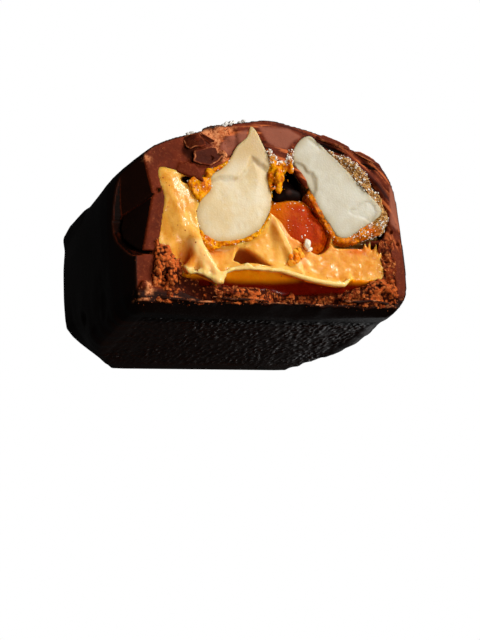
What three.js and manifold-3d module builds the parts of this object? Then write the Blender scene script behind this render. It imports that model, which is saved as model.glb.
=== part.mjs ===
// Half of a filled chocolate bar, lying on its flat base with the cut face towards -Y.
// Millimetres, +Z up, origin on the base under the middle of the bounding box.
// Shapes are first made in the cut frame: x to the right, y = 0 at the cut and growing into the bar.
import * as THREE from 'three';
import { ConvexGeometry } from 'three/addons/geometries/ConvexGeometry.js';
import { mergeVertices } from 'three/addons/utils/BufferGeometryUtils.js';
import Module from 'manifold-3d';

// ---- Driving dimensions -------------------------------------------------------------------
const LENGTH = 35; // from the cut to the closed end
const PINCH_LENGTH = 10; // the knife squeezed the bar this far in from the cut
const END_ROUNDING = 3; // rounding of the closed end
const FILLING_END = 32; // where the filling stops inside the closed end
const CRUMB_END = 29; // the crumb bed stops a little sooner
const FILLING_DRAW = 0.2; // share by which the filling's base narrows towards its end
const FOOT_START = 18; // from here on the base corners draw in towards the closed end
const FOOT_DRAW = 4; // how far they have drawn in 10 mm further on
const FOOT_HEIGHT = 7; // the drawing in fades out at this height
const GAP = 0.3; // clearance between neighbouring pieces
const NUT_DEPTH_LEFT = 6.6;
const NUT_DEPTH_RIGHT = 6.2;
const GLAZE_THICKNESS = 1; // sugar crust behind the nuts
const CRUST_RELIEF = 0.3; // unevenness of the cut surfaces
const BASE_BREAK_HEIGHT = 1.1; // the base is broken back at the cut from this height down
const SALT_COUNT = 16; // salt crystals scattered on the top
const SALT_SIZE = 0.62; // mean radius of one crystal
const SEED = 7;

// ---- Outlines, as (x, z) points run anticlockwise from the lower left --------------------
// The outer skin at the cut, where the sides are squeezed in.
const SKIN_AT_CUT = [
  [-18.4, 0], [-9, 0], [0, 0], [10, 0], [18.6, 0], [20.4, 1.2], [21.6, 3], [22, 6], [22, 11],
  [21.9, 16], [21.5, 20.2], [20.2, 23], [18.2, 25], [15.3, 25.9], [11, 27.9], [7, 28.9],
  [2.5, 29.8], [-1, 29.4], [-5.5, 28.4], [-10.5, 26.7], [-14, 25.5], [-17, 23.8],
  [-18.3, 21.6], [-18.9, 18], [-19.4, 13], [-19.9, 8], [-20.1, 4], [-19.9, 1.2],
];
// The outer skin where the bar has its full width.
const SKIN_OF_BODY = [
  [-20.4, 0], [-9, 0], [0, 0], [10, 0], [19.6, 0], [20.9, 0.9], [21.6, 3], [21.9, 6], [22, 11],
  [21.8, 16], [21.2, 20], [19.8, 22.8], [17.6, 24.8], [14.8, 26], [10.5, 27.2], [6.5, 27.9],
  [2, 28.2], [-1.5, 28.1], [-6, 27.4], [-11, 26.3], [-15, 25], [-19, 23.3],
  [-21.2, 21.1], [-21.8, 18], [-21.9, 13], [-21.9, 8], [-21.8, 4], [-21.5, 1.2],
];
// The inside of the chocolate shell at the cut and in the body.
const HOLLOW_AT_CUT = [
  [-17.3, 1.5], [-8, 1.3], [2, 1.3], [12, 1.3], [19.7, 1.6], [20.1, 4.5], [19.9, 8], [20, 12],
  [20.6, 16.5], [20, 19.4], [18.4, 20.9], [16.8, 22.6], [14.4, 23.6], [11, 24], [7.5, 24.2],
  [4.5, 23.5], [2, 24], [-1, 23.3], [-4.9, 22], [-7.6, 20.8], [-10.2, 19.8], [-13, 20.7],
  [-15.4, 21.1], [-15.4, 19], [-14.8, 16.7], [-15.4, 13.5], [-16.2, 10], [-17.2, 6.5],
];
const HOLLOW_OF_BODY = [
  [-18.9, 1.7], [-8, 1.3], [2, 1.3], [12, 1.3], [18.8, 1.7], [19.7, 4.5], [19.9, 8],
  [19.9, 12], [19.6, 16.5], [18.8, 19.4], [17.6, 20.9], [16, 22.2], [13.5, 23], [10.5, 23.6],
  [7.5, 24], [4.5, 24.2], [2, 24.3], [-1, 24.2], [-4.9, 23.8], [-7.6, 23.4], [-10.5, 22.9],
  [-14.5, 22.2], [-18, 21], [-19.3, 18.5], [-19.6, 16], [-19.6, 13], [-19.6, 10], [-19.4, 6.5],
];
// The crumb layer: a thin bed with a raised column at each side of the cut.
const CRUMB_AT_CUT = [
  [-16.9, 1.8], [-8, 1.6], [2, 1.6], [12, 1.6], [19.2, 1.9], [19.7, 4], [19.6, 7.5],
  [19.6, 11.3], [18.7, 11.5], [18.4, 9.2], [18.9, 7], [18, 5], [15.6, 3.9], [12, 3.2],
  [6, 3], [-1, 3], [-7, 3.2], [-11.6, 3.6], [-13.6, 5], [-14.6, 7], [-15.4, 8.8], [-16.5, 9.2],
  [-16.9, 6],
];
const CRUMB_OF_BODY = [
  [-18.2, 2], [-8, 1.6], [2, 1.6], [12, 1.6], [18.2, 2], [19.2, 3.2], [19.3, 4.6], [19.2, 6],
  [18.7, 6.2], [18, 5.6], [17.2, 4.8], [15.6, 4], [13.4, 3.5], [10, 3.3], [5, 3.2], [-1, 3.2],
  [-7, 3.3], [-11, 3.5], [-14, 3.9], [-16, 4.7], [-17.4, 5.6], [-18.4, 5.9], [-18.7, 4.2],
];
// The cut nuts, and the sugar crust round each: the crust outlines run through the nuts,
// so that the crust is a cup that is open at the top.
const NUT_LEFT = [
  [-9.5, 11.2], [-7.3, 10.2], [-4.2, 10.5], [-1.2, 12], [0.7, 14.4], [1.6, 17], [1.3, 20.4],
  [1.7, 23.6], [0.9, 25.6], [-0.1, 28], [-0.8, 28.6], [-1.5, 26.9], [-3.3, 25.2], [-4.8, 22.8],
  [-6.3, 21.3], [-7.7, 20.4], [-8, 18.2], [-9.7, 16.4], [-10.5, 14],
];
const NUT_RIGHT = [
  [5.8, 22.8], [6.8, 21.2], [7.9, 18.9], [8.7, 16.4], [10.2, 13.8], [11.6, 11.7], [12.9, 11.6],
  [15.7, 13.3], [18.4, 15], [19.2, 16.3], [17.5, 18.6], [15.4, 20.9], [13.4, 23.2],
  [11.2, 25.4], [9.6, 26.9], [8.6, 27.7], [7.3, 27.2], [6.1, 25.9], [5.5, 24.6],
];
const GLAZE_LEFT = [
  [-10.2, 9.2], [-8.4, 8.7], [-6.8, 9.1], [-4.4, 9.4], [-2.2, 10.3], [-0.2, 11.8], [1.6, 13.6],
  [2.6, 15.6], [2.6, 17.8], [3.6, 18.8], [4.6, 20.6], [5, 22.2], [4.2, 23], [2.4, 23.4],
  [0, 22], [-3, 19], [-6.5, 19.2], [-8.4, 20], [-9.8, 19.4], [-11, 18.6], [-11.1, 17.2],
  [-10.7, 15.8], [-11.4, 14], [-11.3, 11.4],
];
const GLAZE_RIGHT = [
  [7.2, 18.6], [8, 16.6], [9.3, 14], [10.7, 11.5], [12.4, 10.7], [14.4, 11], [16.8, 11.9],
  [19, 12.7], [19.8, 14.6], [20, 17], [19.3, 19], [18, 20.8], [16.8, 22.3], [15.6, 23],
  [13.6, 23.6], [11.6, 24], [10.4, 22.4], [9.4, 20.2],
];

// Shell fragments pushed in beside the cut: their outlines on the left side, as (y, z).
const UPPER_FRAGMENT = [
  [-1, 17.4], [-1, 22.9], [1.8, 22.7], [3.2, 21.9], [4.2, 21], [4.8, 19.1], [5.3, 17],
  [5.6, 15.4],
];
const LOWER_FRAGMENT = [
  [-1, 17.4], [5.6, 15.4], [5.8, 12.8], [4.9, 11.2], [3.3, 9.7], [1.7, 8.3], [0.7, 7.7],
  [-1, 7.6],
];
// Points that set the planes of the two fragments, which meet in a crease.
const CREASE_FRONT = new THREE.Vector3(-16.6, 0, 17.1);
const CREASE_BACK = new THREE.Vector3(-20, 5.6, 15.4);
const UPPER_HINGE = new THREE.Vector3(-17.6, 0, 22.6);
const LOWER_EDGE = new THREE.Vector3(-18.6, 0, 8.8);
const OUTSIDE_X = -26; // a plane clear of the left side

// ---- Small helpers ------------------------------------------------------------------------
const wasm = await Module();
wasm.setup();

function seededRandom(seed) {
  let state = seed >>> 0;
  return () => {
    state = (Math.imul(state, 1664525) + 1013904223) >>> 0;
    return state / 4294967296;
  };
}

// Smooth value noise in two dimensions, between -1 and 1.
function hashAt(i, j) {
  const value = Math.sin(i * 127.1 + j * 311.7 + SEED) * 43758.5453;
  return 2 * (value - Math.floor(value)) - 1;
}
function noise(u, v) {
  const i = Math.floor(u);
  const j = Math.floor(v);
  const fu = THREE.MathUtils.smoothstep(u - i, 0, 1);
  const fv = THREE.MathUtils.smoothstep(v - j, 0, 1);
  const near = THREE.MathUtils.lerp(hashAt(i, j), hashAt(i + 1, j), fu);
  const far = THREE.MathUtils.lerp(hashAt(i, j + 1), hashAt(i + 1, j + 1), fu);
  return THREE.MathUtils.lerp(near, far, fv);
}

function toSolid(geometry) {
  const bare = geometry.clone();
  for (const name of Object.keys(bare.attributes)) {
    if (name !== 'position') bare.deleteAttribute(name);
  }
  const merged = mergeVertices(bare, 1e-4);
  return new wasm.Manifold(new wasm.Mesh({
    numProp: 3,
    vertProperties: Float32Array.from(merged.attributes.position.array),
    triVerts: Uint32Array.from(merged.index.array),
  }));
}

function toGeometry(solid) {
  const mesh = solid.getMesh();
  const geometry = new THREE.BufferGeometry();
  geometry.setAttribute('position', new THREE.BufferAttribute(mesh.vertProperties, 3));
  geometry.setIndex(new THREE.BufferAttribute(mesh.triVerts, 1));
  geometry.computeVertexNormals();
  return geometry;
}

// The largest of the bodies that a cut leaves, without its loose scraps.
function mainBody(solid) {
  const bodies = solid.decompose();
  return bodies.reduce((best, body) => (body.volume() > best.volume() ? body : best));
}

const join = (...solids) => solids.reduce((whole, piece) => whole.add(piece));
const cut = (solid, ...tools) => tools.reduce((rest, tool) => rest.subtract(tool), solid);

// A closed smooth curve through outline points, sampled at equal parameters.
function smoothOutline(points, count) {
  const curve = new THREE.CatmullRomCurve3(
    points.map(([x, z]) => new THREE.Vector3(x, 0, z)), true, 'centripetal');
  return Array.from({ length: count }, (_, i) => {
    const p = curve.getPoint(i / count);
    return new THREE.Vector2(p.x, Math.max(p.z, 0));
  });
}

// Every outline point moved outwards along its own normal.
function offsetOutline(points, distance) {
  return points.map((p, i) => {
    const before = points[(i + points.length - 1) % points.length];
    const after = points[(i + 1) % points.length];
    const along = after.clone().sub(before).normalize();
    return new THREE.Vector2(p.x + along.y * distance, p.y - along.x * distance);
  });
}

// A closed body through rings of points, each ring at its own y.
function loft(rings) {
  const count = rings[0].length;
  const positions = rings.flat().flatMap((p) => [p.x, p.y, p.z]);
  const index = [];
  for (let r = 0; r + 1 < rings.length; r += 1) {
    for (let i = 0; i < count; i += 1) {
      const a = r * count + i;
      const b = r * count + ((i + 1) % count);
      index.push(a, b + count, b, a, a + count, b + count);
    }
  }
  const last = (rings.length - 1) * count;
  const flat = (ring) => ring.map((p) => new THREE.Vector2(p.x, p.z));
  for (const [a, b, c] of THREE.ShapeUtils.triangulateShape(flat(rings[0]), [])) {
    index.push(a, b, c);
  }
  for (const [a, b, c] of THREE.ShapeUtils.triangulateShape(flat(rings.at(-1)), [])) {
    index.push(last + a, last + c, last + b);
  }
  const geometry = new THREE.BufferGeometry();
  geometry.setAttribute('position', new THREE.Float32BufferAttribute(positions, 3));
  geometry.setIndex(index);
  return geometry;
}

// How far the outline has opened from its squeezed form at the cut to its full width.
const opening = (y) => 1 - (1 - THREE.MathUtils.clamp(y / PINCH_LENGTH, 0, 1)) ** 2;

function lerpOutline(atCut, ofBody, y) {
  return atCut.map((p, i) => p.clone().lerp(ofBody[i], opening(y)));
}

// How much the closed end has rounded in at y, for an end at the given y.
function endInset(y, end, radius) {
  const into = Math.max(0, y - (end - radius));
  return radius - Math.sqrt(Math.max(0, radius ** 2 - into ** 2));
}

// A cup-shaped body behind an outline at the cut: it narrows to a round bottom at the depth.
const DOME_ANGLES = [0, 24, 46, 65, 80];
function dome(outline, depth, front = 0) {
  const centre = outline.reduce((sum, p) => sum.add(p), new THREE.Vector2());
  centre.divideScalar(outline.length);
  const rings = DOME_ANGLES.map((degrees) => {
    const angle = THREE.MathUtils.degToRad(degrees);
    return outline.map((p) => {
      const q = p.clone().sub(centre).multiplyScalar(Math.cos(angle)).add(centre);
      return new THREE.Vector3(q.x, depth * Math.sin(angle), q.y);
    });
  });
  if (front < 0) rings.unshift(outline.map((p) => new THREE.Vector3(p.x, front, p.y)));
  return toSolid(loft(rings));
}

function ellipsoid(centre, radii, segments = 14) {
  const geometry = new THREE.SphereGeometry(1, segments, Math.round(segments * 0.6));
  geometry.scale(...radii);
  geometry.translate(...centre);
  return toSolid(geometry);
}

// A prism between two depths y, from a convex outline of (x, z) points.
function convexPrism(points, front, back) {
  const corners = points.flatMap(([x, z]) => [
    new THREE.Vector3(x, front, z),
    new THREE.Vector3(x, back, z),
  ]);
  return toSolid(new ConvexGeometry(corners));
}

// A flat slab of any outline of (x, z) points, its face turned to the cut.
function slab(points, front, back) {
  const shape = new THREE.Shape(points.map(([x, z]) => new THREE.Vector2(x, z)));
  const geometry = new THREE.ExtrudeGeometry(shape, { depth: back - front, bevelEnabled: false });
  geometry.rotateX(Math.PI / 2);
  geometry.translate(0, back, 0);
  return toSolid(geometry);
}

// A block that fills everything behind an uneven front, y = relief(x, z).
function frontBlock(step, relief) {
  const [left, right, bottom, top, back] = [-24, 24, -1, 31, LENGTH + 3];
  const columns = Math.round((right - left) / step);
  const rows = Math.round((top - bottom) / step);
  const geometry = new THREE.BoxGeometry(right - left, 1, top - bottom, columns, 1, rows);
  geometry.translate((left + right) / 2, 0, (bottom + top) / 2);
  const position = geometry.attributes.position;
  for (let i = 0; i < position.count; i += 1) {
    const front = position.getY(i) < 0;
    position.setY(i, front ? relief(position.getX(i), position.getZ(i)) : back);
  }
  return toSolid(geometry);
}

// ---- The lofts of skin, hollow and crumb layer --------------------------------------------
const SKIN_POINTS = 56;
const HOLLOW_POINTS = 36;
const SKIN_STATIONS = [0, 1.5, 3.2, 5.2, 7.2, PINCH_LENGTH, 13, FOOT_START, 22, 26, 29.5, 31.8,
  33.4, 34.5, LENGTH];
const FILLING_STATIONS = [-1, 0, 2, 4.5, PINCH_LENGTH, 14, 21, 27, 30, 31.4, FILLING_END];

const skinAtCut = smoothOutline(SKIN_AT_CUT, SKIN_POINTS);
const skinOfBody = smoothOutline(SKIN_OF_BODY, SKIN_POINTS);
const HALF_WIDTH = 22;
const MIDDLE_HEIGHT = 11;

// One ring of the outer skin: squeezed near the cut, drawn in at the foot, rounded at the end.
function skinRing(y) {
  const inset = endInset(y, LENGTH, END_ROUNDING);
  const narrowing = 1 - inset / HALF_WIDTH;
  const draw = FOOT_DRAW * (Math.max(0, y - FOOT_START) / 10) ** 1.7;
  return lerpOutline(skinAtCut, skinOfBody, y).map((p) => {
    const low = Math.max(0, 1 - p.y / FOOT_HEIGHT) ** 1.5;
    const reach = Math.abs(p.x) / HALF_WIDTH;
    const x = (p.x - Math.sign(p.x) * draw * low * reach ** 4) * narrowing;
    const z = MIDDLE_HEIGHT + (p.y - MIDDLE_HEIGHT) * narrowing;
    return new THREE.Vector3(x, y, z);
  });
}

// A body inside the shell, between its outlines at the cut and in the full width, moved in by
// the inset. It ends at the given y, with its edges rounded there.
function fillingLoft(atCut, ofBody, inset, end, rounding) {
  const outlineAtCut = offsetOutline(smoothOutline(atCut, HOLLOW_POINTS), -inset);
  const outlineOfBody = offsetOutline(smoothOutline(ofBody, HOLLOW_POINTS), -inset);
  const stations = [...FILLING_STATIONS.filter((y) => y < end - 0.2), end];
  return toSolid(loft(stations.map((y) => {
    const narrowing = 1 - endInset(y, end, rounding) / HALF_WIDTH;
    const into = THREE.MathUtils.clamp((y - FOOT_START) / (FILLING_END - FOOT_START), 0, 1);
    return lerpOutline(outlineAtCut, outlineOfBody, y).map((p) => {
      const low = THREE.MathUtils.clamp(1 - p.y / MIDDLE_HEIGHT, 0, 1);
      const x = p.x * narrowing * (1 - FILLING_DRAW * into * low);
      return new THREE.Vector3(x, y, MIDDLE_HEIGHT + (p.y - MIDDLE_HEIGHT) * narrowing);
    });
  })));
}

const skin = toSolid(loft(SKIN_STATIONS.map(skinRing)));
const hollow = fillingLoft(HOLLOW_AT_CUT, HOLLOW_OF_BODY, 0, FILLING_END, END_ROUNDING);
const hollowForFilling = fillingLoft(HOLLOW_AT_CUT, HOLLOW_OF_BODY, GAP, FILLING_END - GAP,
  END_ROUNDING);

// Height of the skin's top at a place, read from the ring there.
function topHeight(x, y) {
  const ring = skinRing(y);
  let height = 0;
  for (let i = 0; i < ring.length; i += 1) {
    const a = ring[i];
    const b = ring[(i + 1) % ring.length];
    if ((a.x - x) * (b.x - x) > 0 || a.x === b.x) continue;
    height = Math.max(height, THREE.MathUtils.mapLinear(x, a.x, b.x, a.z, b.z));
  }
  return height;
}

// ---- Nuts and their crusts ----------------------------------------------------------------
const NUT_POINTS = 28;
const nutLeftOutline = smoothOutline(NUT_LEFT, NUT_POINTS);
const nutRightOutline = smoothOutline(NUT_RIGHT, NUT_POINTS);
const glazeLeftOutline = smoothOutline(GLAZE_LEFT, NUT_POINTS);
const glazeRightOutline = smoothOutline(GLAZE_RIGHT, NUT_POINTS);
const OPEN_FRONT = -2; // cutting tools reach this far out of the cut

function grown(outline, depth, by) {
  return dome(offsetOutline(outline, by), depth + by, OPEN_FRONT);
}
const roomForNutLeft = grown(nutLeftOutline, NUT_DEPTH_LEFT, GAP);
const roomForNutRight = grown(nutRightOutline, NUT_DEPTH_RIGHT, GAP);
const roomForGlazeLeft = grown(glazeLeftOutline, NUT_DEPTH_LEFT + GLAZE_THICKNESS, GAP);
const roomForGlazeRight = grown(glazeRightOutline, NUT_DEPTH_RIGHT + GLAZE_THICKNESS, GAP);

function nutLeft() {
  const scoop = ellipsoid([0.7, -0.5, 23.7], [1.3, 1.5, 1.7]);
  const split = convexPrism([[-8.5, 20.6], [-4.8, 21], [-2.7, 21.8], [-1.4, 23.4], [-0.7, 24.9],
    [-4, 30], [-12, 30]], OPEN_FRONT, 0.25);
  return cut(dome(nutLeftOutline, NUT_DEPTH_LEFT), scoop, split);
}

function nutRight() {
  const ledge = convexPrism([[4, 24.2], [5.6, 23.5], [7.3, 22.9], [9.2, 20.9], [7.4, 16],
    [4, 16]], OPEN_FRONT, 0.6);
  const chip = convexPrism([[13.2, 15.7], [14, 16.8], [16.7, 18], [21, 17.2], [18, 12.6]],
    OPEN_FRONT, 0.4);
  return cut(dome(nutRightOutline, NUT_DEPTH_RIGHT), ledge, chip);
}

function glazeLeft() {
  const crust = dome(glazeLeftOutline, NUT_DEPTH_LEFT + GLAZE_THICKNESS);
  return mainBody(cut(crust, roomForNutLeft));
}

function glazeRight() {
  const crust = dome(glazeRightOutline, NUT_DEPTH_RIGHT + GLAZE_THICKNESS);
  return mainBody(cut(crust, roomForNutRight));
}

// The candied nut sits deeper, between the two cut ones.
const CANDIED_CENTRE = [5.6, 6.4, 13.4];
const CANDIED_RADII = [5.6, 5.8, 5.4];
function candiedNut() {
  return mainBody(cut(ellipsoid(CANDIED_CENTRE, CANDIED_RADII, 20), roomForNutLeft,
    roomForNutRight, roomForGlazeLeft, roomForGlazeRight));
}
const roomForCandiedNut = ellipsoid(CANDIED_CENTRE, CANDIED_RADII.map((r) => r + GAP), 20);

// The caramel is open in front of the candied nut, in this outline.
const CANDIED_WINDOW = [
  [2.4, 13.6], [3.4, 12.4], [5, 11.4], [6.6, 10], [7.6, 9.2], [8.8, 9.2], [10, 10.2],
  [10.4, 12], [10.2, 14], [8.2, 17.6], [7.4, 19], [3.4, 18.4], [2, 16.6],
];
const windowToCandiedNut = dome(smoothOutline(CANDIED_WINDOW, 20), 6, OPEN_FRONT);

// ---- Crumb layer and caramel --------------------------------------------------------------
const inBand = (value, low, high, soft) => THREE.MathUtils.smoothstep(value, low - soft, low)
  * (1 - THREE.MathUtils.smoothstep(value, high, high + soft));

// The crumb layer breaks back under the middle of the caramel lip.
function crumbRelief(x, z) {
  const hollowed = 2.4 * inBand(x, 2, 12.5, 1.5) * (1 - THREE.MathUtils.smoothstep(z, 4, 6));
  return 0.2 + hollowed + CRUST_RELIEF * noise(x * 0.9, z * 0.9);
}

const CRUMB_GRID = 1.3;
function crumbLayer() {
  const bed = fillingLoft(CRUMB_AT_CUT, CRUMB_OF_BODY, 0, CRUMB_END, 0);
  const crumbs = bed.intersect(hollowForFilling).intersect(frontBlock(CRUMB_GRID, crumbRelief));
  return mainBody(cut(crumbs, ellipsoid([18.6, 0, 9], [0.45, 1, 0.7], 8),
    ellipsoid([18.9, 0, 4.9], [0.6, 1, 0.7], 8)));
}
const roomForCrumb = fillingLoft(CRUMB_AT_CUT, CRUMB_OF_BODY, -GAP, CRUMB_END + GAP, 0);

// The caramel stands out in a lip along its lower edge, slopes back under it, and has a ridge
// from the left nut down to the right.
function caramelRelief(x, z) {
  const lipHeight = THREE.MathUtils.mapLinear(x, -13, 14, 5.3, 4.6);
  const lip = -0.5 * Math.exp(-(((z - lipHeight - 0.8) / 1.1) ** 2));
  const underLip = 2.6 * (1 - THREE.MathUtils.smoothstep(z, lipHeight - 1.2, lipHeight));
  const ridgeLine = THREE.MathUtils.mapLinear(x, -4, 6, 11, 6.4);
  const ridge = -0.4 * Math.exp(-(((z - ridgeLine) / 0.9) ** 2)) * inBand(x, -4, 6, 1);
  const drawnBack = 0.5 * inBand(x, -14, -11, 1.5) * inBand(z, 8, 19, 2);
  return lip + underLip + ridge + drawnBack + CRUST_RELIEF * noise(x * 0.7, z * 0.7);
}

const CARAMEL_GRID = 1.6;
function caramel() {
  const body = hollowForFilling.intersect(frontBlock(CARAMEL_GRID, caramelRelief));
  const cave = ellipsoid([-2.6, 0, 8.1], [2.6, 3.2, 1.4]);
  const airBetweenNuts = ellipsoid([4.4, 2, 20.6], [3.4, 6, 3.6]);
  const airUnderTip = ellipsoid([-10.9, 0.6, 19.5], [1.1, 2.4, 0.8], 10);
  const gapUnderNut = ellipsoid([14, 0, 10.7], [4.6, 3, 0.7]);
  return mainBody(cut(body, roomForCrumb, roomForNutLeft, roomForNutRight, roomForGlazeLeft,
    roomForGlazeRight, roomForCandiedNut, windowToCandiedNut, cave, airBetweenNuts,
    airUnderTip, gapUnderNut));
}

// ---- The chocolate shell ------------------------------------------------------------------
// The room in front of a pushed-in fragment: its outline on the side, down to its plane.
function fragmentRoom(outline, third) {
  const plane = new THREE.Plane().setFromCoplanarPoints(CREASE_FRONT, CREASE_BACK, third);
  const corners = outline.flatMap(([y, z]) => {
    const { x: nx, y: ny, z: nz } = plane.normal;
    const x = -(plane.constant + ny * y + nz * z) / nx;
    return [new THREE.Vector3(x, y, z), new THREE.Vector3(OUTSIDE_X, y, z)];
  });
  return toSolid(new ConvexGeometry(corners));
}

// The open crack under the lower fragment, as two straight stretches through the wall.
function crackUnderFragment() {
  const stretch = (points, inner) => toSolid(new ConvexGeometry(points.flatMap(([y, z]) => [
    new THREE.Vector3(OUTSIDE_X, y, z),
    new THREE.Vector3(inner, y, z - 0.3),
  ])));
  return join(stretch([[-1, 7.9], [-1, 8.7], [1, 8.9], [1, 8.1]], -16.8),
    stretch([[0.9, 8], [0.9, 8.8], [3.2, 10.6], [3.6, 10.1]], -18.6));
}

// The base is broken back under the cut, deepest in the middle: a wedge that runs across it.
function brokenBaseEdge() {
  const sections = [[24, 1.2], [12, 3], [4, 4.8], [-6, 4.6], [-17, 2.4], [-24, 1.6]];
  const rings = sections.map(([x, depth]) => [[-1, -1], [depth, -0.02],
    [-0.6, BASE_BREAK_HEIGHT + 0.15], [-1, BASE_BREAK_HEIGHT + 0.15],
  ].map(([y, z]) => new THREE.Vector3(y, -x, z)));
  const wedge = loft(rings);
  wedge.rotateZ(Math.PI / 2);
  return toSolid(wedge);
}

// Curled and broken flakes on the upper left of the cut, and the chip at the lower left.
function flakes() {
  return join(
    slab([[-11.6, 26], [-11.4, 25], [-11, 24.2], [-10.5, 23.9], [-9.8, 24.2], [-8.7, 24],
      [-8.2, 24.7], [-8.9, 25.9], [-9.4, 26.6], [-10.8, 26.5]], -0.7, 0.4),
    slab([[-10.7, 22.1], [-9.4, 21.7], [-7.7, 21.3], [-7.1, 22.3], [-5.8, 23.2], [-5.9, 24],
      [-7.1, 24.2], [-8.4, 23.8], [-10.3, 23.4]], -0.4, 0.4),
    slab([[-8.3, 25.7], [-7.3, 24.7], [-7, 25], [-8.1, 27.1], [-8.9, 26.8]], -0.6, 0.4),
    slab([[-19.5, 3.7], [-19.7, 2.6], [-18.8, 2.1], [-18.1, 2.7], [-18.4, 3.5], [-19, 3.9]],
      -0.15, 1),
  );
}

// Cracks and pores in the cut face of the shell.
function cracksAndPores() {
  return join(
    convexPrism([[10.3, 26.8], [12, 25.6], [14.1, 25.3], [14.1, 25.6], [11.8, 26.3]], -1, 1.3),
    convexPrism([[16.6, 24.1], [17.8, 23.6], [19.4, 23], [19.5, 23.3], [18.1, 24]], -1, 0.8),
    convexPrism([[-16.5, 17], [-16.1, 17.9], [-15.7, 18.2], [-15.2, 17.9]], -1, 1.6),
    convexPrism([[-6.8, 26.1], [-5.6, 25.6], [-4.2, 27.3], [-5.4, 27.9], [-7.6, 27.4]], -1, 0.4),
    convexPrism([[-21, 1.4], [-17.7, 1.6], [-17.7, 3.9], [-21, 4.1]], -1, 0.7),
    ellipsoid([21.2, 0, 11], [0.35, 0.8, 0.3], 8),
    ellipsoid([19.9, 0, 10.9], [0.5, 1.2, 0.5], 8),
  );
}

// Salt crystals on the top: three groups at the cut edge, the rest scattered thinly.
function saltCrystals() {
  const random = seededRandom(SEED);
  const places = [[-10.4, 0.6], [-5.4, 0.5], [-4.5, 0.9], [-3.7, 0.5], [-2.6, 0.6], [-1.6, 0.7]];
  for (let i = 0; i < SALT_COUNT; i += 1) {
    const along = 3 + (LENGTH - 8) * ((i + random()) / SALT_COUNT);
    places.push([-13 + 26 * ((i * 0.618 + 0.3 * random()) % 1), along]);
  }
  return places.map(([x, y]) => {
    const size = SALT_SIZE * (0.75 + 0.5 * random());
    const geometry = new THREE.DodecahedronGeometry(size, 0);
    geometry.scale(1, 0.8 + 0.4 * random(), 0.62);
    geometry.rotateX(0.5 * random());
    geometry.rotateZ(Math.PI * random());
    geometry.translate(x, y, topHeight(x, y) - 0.05);
    return toSolid(geometry);
  });
}

const SHELL_GRID = 4;
const shellRelief = (x, z) => 0.12 + 0.12 * noise(x * 0.4, z * 0.4);

function chocolateShell() {
  const walls = cut(skin.intersect(frontBlock(SHELL_GRID, shellRelief)), hollow,
    roomForNutLeft, roomForNutRight, roomForGlazeLeft, roomForGlazeRight,
    fragmentRoom(UPPER_FRAGMENT, UPPER_HINGE), fragmentRoom(LOWER_FRAGMENT, LOWER_EDGE),
    crackUnderFragment(), brokenBaseEdge(), cracksAndPores());
  return mainBody(join(mainBody(walls), flakes(), ...saltCrystals()));
}

// ---- The bar ------------------------------------------------------------------------------
function piece(name, solid, color, roughness) {
  const material = new THREE.MeshStandardMaterial({ color, roughness, metalness: 0 });
  const mesh = new THREE.Mesh(toGeometry(solid), material);
  mesh.name = name;
  return mesh;
}

const bar = new THREE.Group();
bar.add(
  piece('chocolate_shell', chocolateShell(), 0x4a2016, 0.42),
  piece('caramel_filling', caramel(), 0xe2a344, 0.35),
  piece('nut_left', nutLeft(), 0xe6d6b2, 0.55),
  piece('nut_right', nutRight(), 0xe0d6c4, 0.55),
  piece('nut_glaze_left', glazeLeft(), 0xd07a18, 0.3),
  piece('nut_glaze_right', glazeRight(), 0xb07c48, 0.35),
  piece('candied_nut_middle', candiedNut(), 0xb8430c, 0.2),
  piece('crumb_layer', crumbLayer(), 0x7a3c20, 0.75),
);
const bounds = new THREE.Box3().setFromObject(bar);
bar.position.set(-(bounds.min.x + bounds.max.x) / 2, -(bounds.min.y + bounds.max.y) / 2,
  -bounds.min.z);

export default bar;
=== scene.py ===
"""Looks of a cut, filled dark chocolate bar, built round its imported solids.

Shapes are signed distances on box grids, in millimetres in the cut frame: x to the right, y = 0 at
the cut and growing into the bar, z up from the base. Each becomes one mesh, in metres.
"""
import functools

import bmesh
import bpy
import numpy as np
from mathutils import Matrix, Vector


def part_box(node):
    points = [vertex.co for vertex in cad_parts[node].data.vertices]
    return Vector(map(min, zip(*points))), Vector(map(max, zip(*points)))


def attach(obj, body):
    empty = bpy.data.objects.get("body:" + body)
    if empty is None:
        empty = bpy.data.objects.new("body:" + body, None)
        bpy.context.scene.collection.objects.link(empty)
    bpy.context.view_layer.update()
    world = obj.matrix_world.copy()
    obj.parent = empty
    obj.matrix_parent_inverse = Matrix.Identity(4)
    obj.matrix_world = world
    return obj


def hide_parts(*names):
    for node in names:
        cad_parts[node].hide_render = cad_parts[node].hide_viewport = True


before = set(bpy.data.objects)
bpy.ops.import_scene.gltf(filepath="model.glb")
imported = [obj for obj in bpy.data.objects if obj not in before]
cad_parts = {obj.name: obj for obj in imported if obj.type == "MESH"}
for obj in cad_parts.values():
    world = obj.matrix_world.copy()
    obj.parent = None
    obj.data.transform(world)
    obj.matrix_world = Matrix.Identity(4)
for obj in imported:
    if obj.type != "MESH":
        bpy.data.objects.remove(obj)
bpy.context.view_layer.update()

# ---- Driving dimensions ----------------------------------------------------------------------
MM = 0.001
CUT_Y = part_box("nut_left")[0].y / MM  # where the cut plane lies in the part's frame
MIDDLE_X = 0.064  # the part's middle, in the cut frame
LENGTH = 35.0
PINCH_LENGTH = 10.0
END_ROUNDING = 3.0
FILLING_END = 32.0
CRUMB_END = 29.0
FOOT_START = 18.0
FOOT_DRAW = 4.0
FOOT_HEIGHT = 7.0
HALF_WIDTH = 22.0
NUT_DEPTH_LEFT = 6.6
NUT_DEPTH_RIGHT = 6.2
GLAZE_THICKNESS = 1.0
BASE_BREAK_HEIGHT = 1.1
FINE = 0.2  # grid step near the cut
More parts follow.
